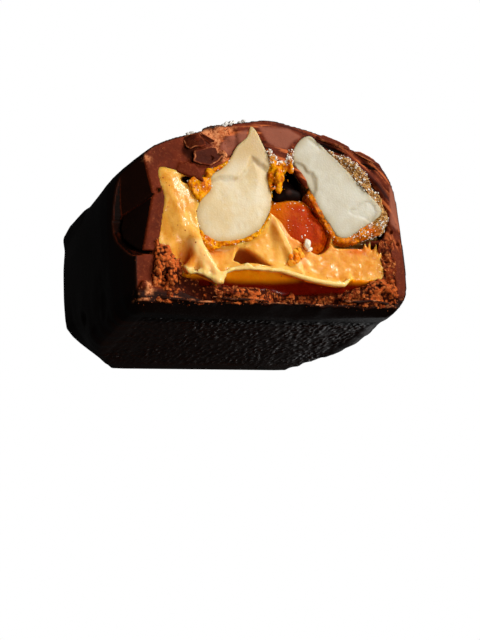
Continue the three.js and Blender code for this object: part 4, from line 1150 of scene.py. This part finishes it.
CRUMB_STRINGS = (
    ([(-17, 0.2, 4), (-16.6, -0.1, 6), (-16.4, -0.1, 8.4)], [0.5, 0.9, 0.5], 0.4),
    ([(-15.6, 0, 8.6), (-15.4, -0.2, 6.4), (-15, -0.1, 4), (-14.4, 0.2, 3.6)],
     [0.6, 0.9, 0.9, 0.5], 0.4),
    ([(-9, 0.2, 2), (-7, -0.1, 2.4), (-4, -0.1, 2.6), (-1, 0.2, 2.3)], [0.2, 0.5, 0.5, 0.2], 0.3),
    ([(11.5, 0.4, 2.2), (14, 0, 3), (17, 0, 4.4), (19, 0.1, 3.6), (19.4, 0.1, 2.4)],
     [0.3, 0.7, 0.9, 0.8, 0.5], 0.4))
CRUMB_HOLES = (((18.6, 0, 9), (0.4, 1, 0.7)), ((18.9, 0, 4.9), (0.6, 1, 0.6)),
               ((-16.2, 0.2, 7.2), (0.3, 0.8, 0.35)), ((-14.6, 0, 6.4), (0.35, 0.8, 0.3)),
               ((-15.4, 0, 5), (0.45, 0.7, 0.25)), ((17.2, 0, 4.2), (0.5, 0.7, 0.3)))


def crumb_layer():
    body = Body(steps(-18.6, 21, FINE), steps(-1.6, CRUMB_END + 0.8, FINE, 4, 1.4),
                steps(0.6, 12.8, FINE))
    tube = filling_tube(body, crumb_cut, crumb_body) - 0.25
    body.field = np.maximum(tube, body.y - CRUMB_END).astype(np.float32)
    broken = 2 * band(body.x, 3, 10, 5) * (1 - smoothstep(body.z, 4, 6))
    broken = broken + 0.3 * band(body.x, -12.6, -10.4, 1.6) * (1 - smoothstep(body.z, 4.4, 5.4))
    relief = 0.15 + broken + 0.3 * waves_at(body.x, 0, body.z)(1.3, 3, 121)
    body.field = most(body.field, filling_tube(body, hollow_cut, hollow_body) - 0.4, relief - body.y)
    body.strings(CRUMB_STRINGS)
    body.swell(lambda p: 0.42 * (0.5 - grains(p, 0.5, 123)) + 0.3 * layered(p, 1, 4, 125),
               1.2, high=(99, 5, 99))
    body.holes(CRUMB_HOLES, 0.15)
    piece = body.mesh("crumb_rough")
    places = places_of(piece)
    x, y, z = places.T
    # Painted shade in the crumb's pits, and painted shadow under the lip at the left.
    painted_lip_shadow = 0.3 * band(x, -13.6, -9, 0.8) * band(z, 1, 4.6, 0.6)
    mark(piece, "pit", 1.2 * grains(places, 0.5, 123) - 0.3 * layered(places, 1, 4, 125) + painted_lip_shadow)
    ridges = smoothstep(layered(places, (2.4, 0.5, 0.4), 3, 61), 0, 0.5)
    lit = band(x, -17, -14, 0.8) * band(z, 3.6, 9.4, 0.6) + band(z, 1, 2.8, 0.5) * ridges
    mark(piece, "lit", lit + 0.6 * smoothstep(x, 15, 16) * band(z, 2, 5, 0.6))
    return piece


# ---- Small scattered things ------------------------------------------------------------------
rng = np.random.default_rng(7)


def ball_directions(finer):
    """Unit directions and faces of an icosphere."""
    ball = bmesh.new()
    bmesh.ops.create_icosphere(ball, subdivisions=finer, radius=1)
    directions = np.array([v.co for v in ball.verts])
    faces = np.array([[v.index for v in f.verts] for f in ball.faces])
    ball.free()
    return directions, faces


COARSE_BALL = ball_directions(1)
FINE_BALL = ball_directions(2)


def faceted(ball, cuts):
    """A crystal: a ball cut flat by random planes."""
    directions, faces = ball
    normals = rng.normal(size=(cuts, 3))
    normals /= np.linalg.norm(normals, axis=1)[:, None]
    facing = np.maximum(directions @ normals.T, 0.05)
    reach = np.minimum((rng.uniform(0.6, 1, cuts) / facing).min(axis=1), 1.15)
    return directions * reach[:, None], faces


def turned():
    """A random rotation."""
    turn = np.linalg.qr(rng.normal(size=(3, 3)))[0]
    return turn * np.sign(np.linalg.det(turn))


def scattered(name, places, sizes, ball, cuts, stretch, smooth=False):
    """Crystals or crumbs at the given places, joined into one mesh."""
    points, faces, total = [], [], 0
    for place, size in zip(places, sizes):
        shape, sides = faceted(ball, cuts)
        shape = shape * size * rng.uniform(stretch, 1, 3)
        points.append(shape @ turned() + place)
        faces.append(sides + total)
        total += len(shape)
    return new_object(name, np.concatenate(points), np.concatenate(faces), smooth)


def spots_on(piece, chance, count, sink=0.0):
    """Random points of a mesh, drawn by a chance that depends on place."""
    places, normals = places_of(piece), normals_of(piece)
    weight = chance(*places.T) * (0.2 + (normals[:, 1] < 0.2))
    weight = weight / weight.sum()
    chosen = rng.choice(len(places), count, replace=False, p=weight)
    return places[chosen] - sink * normals[chosen]


SALT_AT_EDGE = [(-10.4, 0.6), (-4.9, 0.5), (-4.3, 0.9), (-3.8, 0.5), (-2.2, 0.6)]
SALT_COUNT = 16
SALT_SIZE = 0.62


def top_height(x, y):
    ring = skin_ring(y)
    top = ring[ring[:, 1] > 15]
    order = np.argsort(top[:, 0])
    return np.interp(x, top[order, 0], top[order, 1])


def salt():
    spots = list(SALT_AT_EDGE)
    for i in range(SALT_COUNT):
        along = 3 + (LENGTH - 8) * (i + rng.random()) / SALT_COUNT
        spots.append((-13 + 26 * ((i * 0.618 + 0.3 * rng.random()) % 1), along))
    places = [(x, y, top_height(x, y) - 0.1) for x, y in spots]
    sizes = SALT_SIZE * rng.uniform(0.7, 1.1, len(places))
    places = places + [(x + dx, 0.35, top_height(x + dx, 0) + up) for x, _ in SALT_AT_EDGE
                       for dx, up in ((-0.3, 0), (0.3, 0.1))]
    sizes = np.append(sizes, rng.uniform(0.3, 0.5, 2 * len(SALT_AT_EDGE)))
    return scattered("salt_crystals", places, sizes, FINE_BALL, 16, (0.75, 0.75, 0.6))


# ---- Materials -------------------------------------------------------------------------------
def colour(red, green, blue):
    """An sRGB colour, 0 to 255, as the linear colour that a shader takes."""
    share = np.array([red, green, blue]) / 255
    linear = np.where(share <= 0.04045, share / 12.92, ((share + 0.055) / 1.055) ** 2.4)
    return (*linear, 1.0)


class Paint:
    """A material, short ways to add nodes to it, and the look that is built up in it. Colours are
    given as sRGB, 0 to 255."""

    def __init__(self, name, **settings):
        self.material = bpy.data.materials.new(name)
        self.material.use_nodes = True
        self.tree = self.material.node_tree
        self.shader = self.tree.nodes["Principled BSDF"]
        self.place = self.add("TexCoord").outputs["Object"]
        self.look = None
        self.set(**settings)

    def set(self, **settings):
        """Values or sockets for the shader, by name with _ for each space."""
        for socket, value in settings.items():
            self.feed(self.shader.inputs[socket.replace("_", " ")], value)

    def feed(self, socket, value):
        if isinstance(value, bpy.types.NodeSocket):
            self.tree.links.new(value, socket)
        else:
            socket.default_value = colour(*value) if socket.type == "RGBA" else value

    def add(self, kind, inputs=(), **settings):
        node = self.tree.nodes.new("ShaderNode" + kind)
        for key, value in settings.items():
            setattr(node, key, value)
        for key, value in dict(inputs).items():
            self.feed(node.inputs[key], value)
        return node

    def cloud(self, size, detail=4.0, roughness=0.6, stretch=None):
        """Noise with features of a size in millimetres."""
        place = self.place
        if stretch:
            place = self.add("Mapping", {"Vector": place, "Scale": stretch}).outputs["Vector"]
        return self.add("TexNoise", {"Vector": place, "Scale": 1 / (size * MM), "Detail": detail,
                                     "Roughness": roughness}).outputs["Fac"]

    def cells(self, size):
        return self.add("TexVoronoi", {"Vector": self.place, "Scale": 1 / (size * MM)},
                        feature="F1").outputs["Distance"]

    def masks(self, *names):
        """The numbers that were marked at the mesh's points."""
        return [self.add("Attribute", attribute_name=name).outputs["Fac"] for name in names]

    def span(self, value, low, high, to_low=0.0, to_high=1.0):
        node = self.add("MapRange", {"Value": value, "From Min": low, "From Max": high,
                                     "To Min": to_low, "To Max": to_high},
                        interpolation_type="SMOOTHSTEP")
        return node.outputs["Result"]

    def times(self, a, b):
        return self.add("Math", {0: a, 1: b}, operation="MULTIPLY", use_clamp=False).outputs[0]

    def blend(self, share, a, b):
        """Colour a where share is 0, and b where it is 1."""
        node = self.add("Mix", data_type="RGBA")
        for index, value in ((0, share), (6, a), (7, b)):
            self.feed(node.inputs[index], value)
        return node.outputs[2]

    def mix(self, share, a, b):
        """Starts the look with colour a where share is 0, and b where it is 1."""
        self.look = self.blend(share, a, b)

    def over(self, share, tint):
        """Lays a tint over the look where share is 1."""
        self.look = self.blend(share, self.look, tint)

    def done(self, roughness, *layers, inside=None):
        """The finished material, with fine relief as (height, depth in millimetres) layers on top
        of each other, and light that enters it and spreads as (weight, radius, millimetres)."""
        self.set(Base_Color=self.look, Roughness=roughness)
        normal = None
        for height, depth in layers:
            node = self.add("Bump", {"Height": height, "Distance": depth * MM, "Strength": 1.0})
            if normal is not None:
                self.feed(node.inputs["Normal"], normal)
            normal = node.outputs["Normal"]
        self.set(Normal=normal)
        if inside:
            weight, radius, scale = inside
            self.set(Subsurface_Weight=weight, Subsurface_Radius=radius,
                     Subsurface_Scale=scale * MM)
        return self.material


def chocolate_look():
    paint = Paint("dark_chocolate_look", Specular_IOR_Level=0.06, Coat_Roughness=0.3)
    depth, tan, bloom, streak, dark = paint.masks("depth", "tan", "bloom", "streak", "dark")
    cloudy = paint.cloud(2.5, 5)
    fine = paint.cloud(0.35, 5, 0.7)
    outside = paint.blend(cloudy, (28, 12, 6), (42, 19, 10))
    pale = paint.blend(paint.span(fine, 0.4, 0.6), (178, 92, 46), (224, 148, 98))
    paint.mix(paint.span(cloudy, 0.3, 0.7), (85, 28, 9), (106, 38, 15))
    paint.over(paint.span(fine, 0.5, 0.8, 0, 0.55), (168, 86, 44))
    paint.over(paint.span(streak, 0.58, 0.85), (190, 98, 50))
    paint.over(paint.span(streak, 0.16, 0.44, 1, 0), (62, 18, 7))
    paint.mix(paint.span(depth, 0.08, 0.3), outside, paint.look)
    # Painted sheen: a purple-brown reflection laid into the colour on the facets and on the lump
    # between the nuts.
    paint.over(paint.times(bloom, 0.7), (152, 90, 70))
    # Painted shade on the shell where the dark mask is set; on the flakes, their faces are made
    # darker.
    paint.over(dark, (16, 5, 2))
    # Tan broken chocolate, with painted highlights on some ridges and on the rim.
    paint.over(paint.times(tan, paint.span(fine, 0.3, 0.5)), pale)
    paint.set(Coat_Weight=paint.span(depth, 0.05, 0.2, 0.16, 0))
    return paint.done(paint.span(depth, 0.05, 0.3, 0.36, 0.6), (cloudy, 0.1), (fine, 0.05),
                      (paint.cloud(0.12, 3), 0.015), inside=(0.05, (1.0, 0.4, 0.25), 0.4))


def caramel_look():
    paint = Paint("caramel_look", Coat_Weight=0.16, Coat_Roughness=0.1, Specular_IOR_Level=0.1)
    deep, under, pale, dark, orange = paint.masks("deep", "under", "pale", "dark", "orange")
    cloudy = paint.cloud(1.8, 5, 0.6)
    streak = paint.cloud(0.7, 4, 0.6, (1.6, 1, 0.35))
    paint.mix(paint.span(cloudy, 0.35, 0.65), (222, 156, 58), (234, 180, 86))
    paint.over(paint.span(streak, 0.5, 0.75, 0, 0.5), (222, 142, 40))
    # Orange, partly painted shade in hollows and partly the caramel's own tone.
    paint.over(paint.times(orange, 0.85), (212, 104, 12))
    paint.over(paint.times(pale, 0.7), (246, 210, 140))
    # Painted shade in the recesses and the cave.
    paint.over(paint.span(deep, 0, 1, 0, 0.85), (150, 58, 8))
    # Painted glow just under the lip, then painted shade lower down.
    paint.over(paint.span(under, 0, 0.16), (255, 152, 8))
    paint.over(paint.span(under, 0.22, 0.9), (112, 14, 1))
    # Painted shade where the dark mask is set.
    paint.over(dark, (22, 7, 3))
    return paint.done(paint.span(cloudy, 0.3, 0.8, 0.24, 0.42), (paint.cloud(0.9, 3), 0.05),
                      (paint.cloud(0.3, 3), 0.03), inside=(1.0, (1.0, 0.7, 0.4), 1.2))


def nut_look(name, pale, dark, warm):
    paint = Paint(name, Specular_IOR_Level=0.25)
    fibre = paint.cloud(0.6, 5, 0.6, (1, 1, 0.35))
    grain = paint.cloud(0.28, 3)
    paint.mix(paint.span(paint.cloud(3, 4), 0.35, 0.65), pale, warm)
    paint.over(paint.span(grain, 0.5, 0.75, 0, 0.5), warm)
    paint.over(paint.span(fibre, 0.5, 0.85, 0, 0.35), dark)
    # Darker near the outline and at the top, and painted shade on the recessed ledge.
    paint.over(paint.times(*paint.masks("edge"), 0.75), dark)
    return paint.done(0.45, (fibre, 0.02), (grain, 0.04), inside=(0.8, (1.0, 0.75, 0.45), 1.5))


def crust_look(name, amber, bright, grey, dark):
    """Amber candy where the mask grey is 0, and greyish sugar grains where it is 1."""
    paint = Paint(name, Coat_Weight=0.05, Coat_Roughness=0.1, Specular_IOR_Level=0.05)
    sugary, pit = paint.masks("grey", "pit")
    fine = paint.cloud(0.3, 4, 0.7)
    paint.mix(paint.span(paint.cloud(1.2, 4), 0.35, 0.65), amber, bright)
    paint.over(sugary, paint.blend(paint.span(fine, 0.42, 0.62), dark, grey))
    # Painted shade in the pits.
    paint.over(paint.span(pit, 0.45, 0.9, 0, 0.8), dark)
    return paint.done(paint.span(fine, 0.3, 0.7, 0.2, 0.45), (paint.cells(0.3), 0.05),
                      (paint.cloud(0.15, 3), 0.02), inside=(0.35, (1.0, 0.45, 0.1), 0.7))


def candied_look():
    paint = Paint("candied_skin_look", Specular_IOR_Level=0.04)
    glow, pit = paint.masks("glow", "pit")
    # Painted glow lightens the amber; where it is absent the amber stays dark.
    paint.mix(glow, (170, 50, 2), (206, 104, 6))
    paint.over(paint.span(paint.cloud(2.2, 4), 0.5, 0.75, 0, 0.6), (190, 82, 4))
    # Painted shade in the pits.
    paint.over(paint.span(pit, 0.4, 0.9, 0, 0.7), (112, 20, 1))
    return paint.done(0.5, (paint.cloud(0.5, 4), 0.06), (paint.cells(0.3), 0.06),
                      inside=(0.7, (1.0, 0.3, 0.04), 1.2))


def crumb_look():
    paint = Paint("cocoa_crumb_look", Specular_IOR_Level=0.06)
    lit, pit = paint.masks("lit", "pit")
    fine = paint.cloud(0.4, 5, 0.7)
    paint.mix(paint.span(paint.cloud(2, 3), 0.35, 0.65), (100, 33, 10), (134, 52, 18))
    paint.over(lit, (200, 92, 36))
    paint.over(paint.span(fine, 0.48, 0.66, 0, 0.85), (222, 134, 70))
    # Painted shade in the pits and under the lip.
    paint.over(paint.span(pit, 0.4, 0.85), (52, 13, 3))
    return paint.done(0.8, (paint.cells(0.25), 0.08), (fine, 0.1))


def clear_grain_look(name, tint, roughness):
    paint = Paint(name, Specular_IOR_Level=0.5)
    paint.mix(paint.cloud(0.4, 3), tint, (255, 252, 246))
    return paint.done(roughness, (paint.cloud(0.12, 3), 0.02), inside=(0.4, (1, 0.95, 0.9), 0.4))


def brown_grain_look(name, tint):
    paint = Paint(name, Specular_IOR_Level=0.1)
    paint.mix(paint.cloud(0.4, 4), tint, (112, 50, 24))
    return paint.done(0.6, (paint.cloud(0.12, 3), 0.02))


# ---- Putting it together ---------------------------------------------------------------------
def place(piece, node, slot, material):
    piece.data.materials.append(material)
    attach(piece, "root")
    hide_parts(node)


shell = chocolate_shell()
caramel = caramel_filling()
nut_left = nut("nut_left_half", nut_left_outline, NUT_DEPTH_LEFT, BROKEN_LEFT)
nut_right = nut("nut_right_half", nut_right_outline, NUT_DEPTH_RIGHT, BROKEN_RIGHT)
crust_left = crust("sugar_crust_left", glaze_left_outline, nut_left_outline, NUT_DEPTH_LEFT,
                   left_extras, 131)
crust_right = crust("sugar_crust_right", glaze_right_outline, nut_right_outline, NUT_DEPTH_RIGHT,
                    right_extras, 141)
x, y, z = places_of(crust_left).T
mark(crust_left, "grey", smoothstep(x, -1, 0.5) * smoothstep(z + 0.2 * (x - 3), 22.8, 24))
x, y, z = places_of(crust_right).T
across = (x - 12) + (z - 19)  # grows from the amber edge, at the lower left, to the grey band
mark(crust_right, "grey", smoothstep(across, -1.5, 1.5) * smoothstep(z, 11.2, 12.4))
candied = candied_nut()
crumb = crumb_layer()
salt_grains = salt()


def grainy_band(x, y, z):
    return (y < 1.6) * np.maximum(band(x, 11, 18.6, 1) * (z > 19), band(x, 14, 20, 1) * (z < 15)
                                  * (z > 11.6))


on_crusts = np.concatenate([
    spots_on(crust_left, lambda x, y, z: (y < 1) * (x > 0) * (z > 22.6), 190, -0.05),
    spots_on(crust_left, lambda x, y, z: (y < 1) * (z > 9), 90),
    spots_on(crust_right, grainy_band, 420, -0.08),
    spots_on(crust_right, lambda x, y, z: (y < 2) * (z > 11), 120),
    spots_on(candied, lambda x, y, z: (y < 4) * (z > 11) * (x < 8), 90)])
sugar = scattered("sugar_specks", on_crusts, 0.06 + 0.16 * rng.random(len(on_crusts)) ** 2,
                  COARSE_BALL, 10, (0.6, 0.6, 0.6))
on_caramel = spots_on(caramel, lambda x, y, z: (y < 1.2) * (1 + 3.0 * (x < -9)), 70)
bits = scattered("caramel_crumbs", on_caramel, rng.uniform(0.05, 0.13, len(on_caramel)),
                 COARSE_BALL, 8, (0.6, 0.6, 0.6))
white_bit = scattered("white_bit", [(6.3, 0, 10.3), (6.7, 0.1, 9.5)], [0.95, 0.45], FINE_BALL, 7,
                      (0.8, 0.8, 0.8))
chunk = scattered("amber_chunk", [(3.6, 0, 7.4), (4.4, -0.1, 7.9), (5.1, 0, 8.5), (4.2, 0, 8.9),
                                  (3.5, 0.1, 8.2), (4.8, 0, 9.3)],
                  [0.8, 0.9, 0.9, 0.7, 0.7, 0.5], FINE_BALL, 12, (0.7, 0.7, 0.7))
on_shell = spots_on(
    shell, lambda x, y, z: (y < 0.9) * (0.2 + (z < 3) + 1.2 * (x < -3) * (z > 23)), 300)
flecks = scattered("chocolate_crumbs", on_shell, rng.uniform(0.05, 0.15, len(on_shell)),
                   COARSE_BALL, 8, (0.5, 0.5, 0.5))

chocolate = chocolate_look()
place(shell, "chocolate_shell", "dark_chocolate", chocolate)
place(left_flakes(), "chocolate_shell", "dark_chocolate", chocolate)
place(right_flakes(), "chocolate_shell", "dark_chocolate", chocolate)
place(caramel, "caramel_filling", "caramel", caramel_look())
place(nut_left, "nut_left", "nut_cream",
      nut_look("nut_cream_look", (216, 203, 174), (190, 156, 98), (212, 190, 146)))
place(nut_right, "nut_right", "nut_white",
      nut_look("nut_white_look", (197, 193, 177), (166, 150, 116), (188, 181, 161)))
place(crust_left, "nut_glaze_left", "sugar_crust_amber", crust_look(
    "sugar_crust_amber_look", (204, 96, 2), (238, 164, 4), (206, 158, 92), (130, 46, 4)))
place(crust_right, "nut_glaze_right", "sugar_crust_pale", crust_look(
    "sugar_crust_pale_look", (188, 86, 6), (220, 132, 14), (206, 162, 100), (112, 64, 14)))
place(candied, "candied_nut_middle", "candied_skin", candied_look())
place(crumb, "crumb_layer", "cocoa_crumb", crumb_look())
place(salt_grains, "chocolate_shell", "sugar_crust_pale",
      clear_grain_look("salt_look", (168, 162, 154), 0.15))
place(sugar, "nut_glaze_right", "sugar_crust_pale",
      clear_grain_look("sugar_look", (250, 240, 220), 0.3))
place(bits, "caramel_filling", "cocoa_crumb",
      brown_grain_look("caramel_crumb_look", (190, 84, 24)))
place(white_bit, "caramel_filling", "nut_cream",
      clear_grain_look("white_bit_look", (252, 232, 190), 0.4))
place(chunk, "caramel_filling", "sugar_crust_amber", crust_look(
    "amber_chunk_look", (240, 124, 8), (252, 180, 60), (206, 158, 92), (150, 70, 14)))
place(flecks, "chocolate_shell", "dark_chocolate",
      brown_grain_look("chocolate_crumb_look", (170, 92, 54)))


# ---- Floor, light and camera -----------------------------------------------------------------
FLOOR_REACH = 0.6
FLOOR_HEIGHT = -0.0003
SKY_LIGHT = 0.02  # the sky lights the scene dimly, and is white to the camera


def one_sided_floor():
    """A pale floor that shows only from above, as the photograph looks up at the base."""
    mesh = bpy.data.meshes.new("floor")
    corners = [(across * FLOOR_REACH, along * FLOOR_REACH, FLOOR_HEIGHT)
               for across, along in ((-1, -1), (1, -1), (1, 1), (-1, 1))]
    mesh.from_pydata(corners, [], [(0, 1, 2, 3)])
    floor = bpy.data.objects.new("floor", mesh)
    bpy.context.scene.collection.objects.link(floor)
    paint = Paint("floor_look", Roughness=0.8, Base_Color=(244, 244, 242))
    back = paint.add("NewGeometry").outputs["Backfacing"]
    clear = paint.add("BsdfTransparent").outputs["BSDF"]
    mixed = paint.add("MixShader", {0: back, 1: paint.shader.outputs["BSDF"], 2: clear})
    paint.feed(paint.tree.nodes["Material Output"].inputs["Surface"], mixed.outputs["Shader"])
    mesh.materials.append(paint.material)
    floor.visible_shadow = False
    floor.visible_diffuse = False
    floor.visible_glossy = False


def lamp(name, place, aim, power, size, tint=(1, 1, 1)):
    light = bpy.data.lights.new(name, "AREA")
    light.energy = power
    light.size = size
    light.color = tint
    holder = bpy.data.objects.new(name, light)
    holder.location = Vector(place)
    holder.rotation_euler = (Vector(aim) - Vector(place)).to_track_quat("-Z", "Y").to_euler()
    bpy.context.scene.collection.objects.link(holder)


def sky():
    world = bpy.data.worlds.new("studio")
    bpy.context.scene.world = world
    world.use_nodes = True
    tree = world.node_tree
    dim = tree.nodes["Background"]
    white = tree.nodes.new("ShaderNodeBackground")
    for background, strength in ((dim, SKY_LIGHT), (white, 1.0)):
        background.inputs["Color"].default_value = (1, 1, 1, 1)
        background.inputs["Strength"].default_value = strength
    ray = tree.nodes.new("ShaderNodeLightPath")
    mixed = tree.nodes.new("ShaderNodeMixShader")
    tree.links.new(ray.outputs["Is Camera Ray"], mixed.inputs[0])
    tree.links.new(dim.outputs[0], mixed.inputs[1])
    tree.links.new(white.outputs[0], mixed.inputs[2])
    tree.links.new(mixed.outputs[0], tree.nodes["World Output"].inputs["Surface"])


CAMERA_PLACE = (-80.364, -206.307, -60.43)
CAMERA_FORWARD = Vector((0.3543, 0.8928, 0.278))
CAMERA_UP = Vector((-0.0221, -0.2893, 0.957))
CAMERA_LENS = 84.4


def camera():
    data = bpy.data.cameras.new("camera")
    data.lens = CAMERA_LENS
    data.sensor_width = 36
    data.clip_start = 0.01
    view = bpy.data.objects.new("camera", data)
    forward = CAMERA_FORWARD.normalized()
    right = forward.cross(CAMERA_UP).normalized()
    up = right.cross(forward)
    turn = Matrix((right, up, -forward)).transposed().to_4x4()
    view.matrix_world = Matrix.Translation(Vector(CAMERA_PLACE) * MM) @ turn
    bpy.context.scene.collection.objects.link(view)
    bpy.context.scene.camera = view


one_sided_floor()
sky()
lamp("key", (0.27, -0.29, 0.25), (0, -0.017, 0.014), 1.9, 0.13, (1, 0.985, 0.96))
lamp("fill_front", (0.06, -0.38, -0.06), (0, -0.017, 0.012), 1.0, 0.16, (1, 0.95, 0.88))
lamp("under", (0.16, 0.20, -0.09), (0.012, 0, 0.0), 0.02, 0.05)
lamp("behind", (0.26, 0.36, 0.2), (0, 0.01, 0.014), 0.5, 0.2)
camera()
bpy.context.scene.view_settings.view_transform = 'Standard'

bpy.context.view_layer.update()
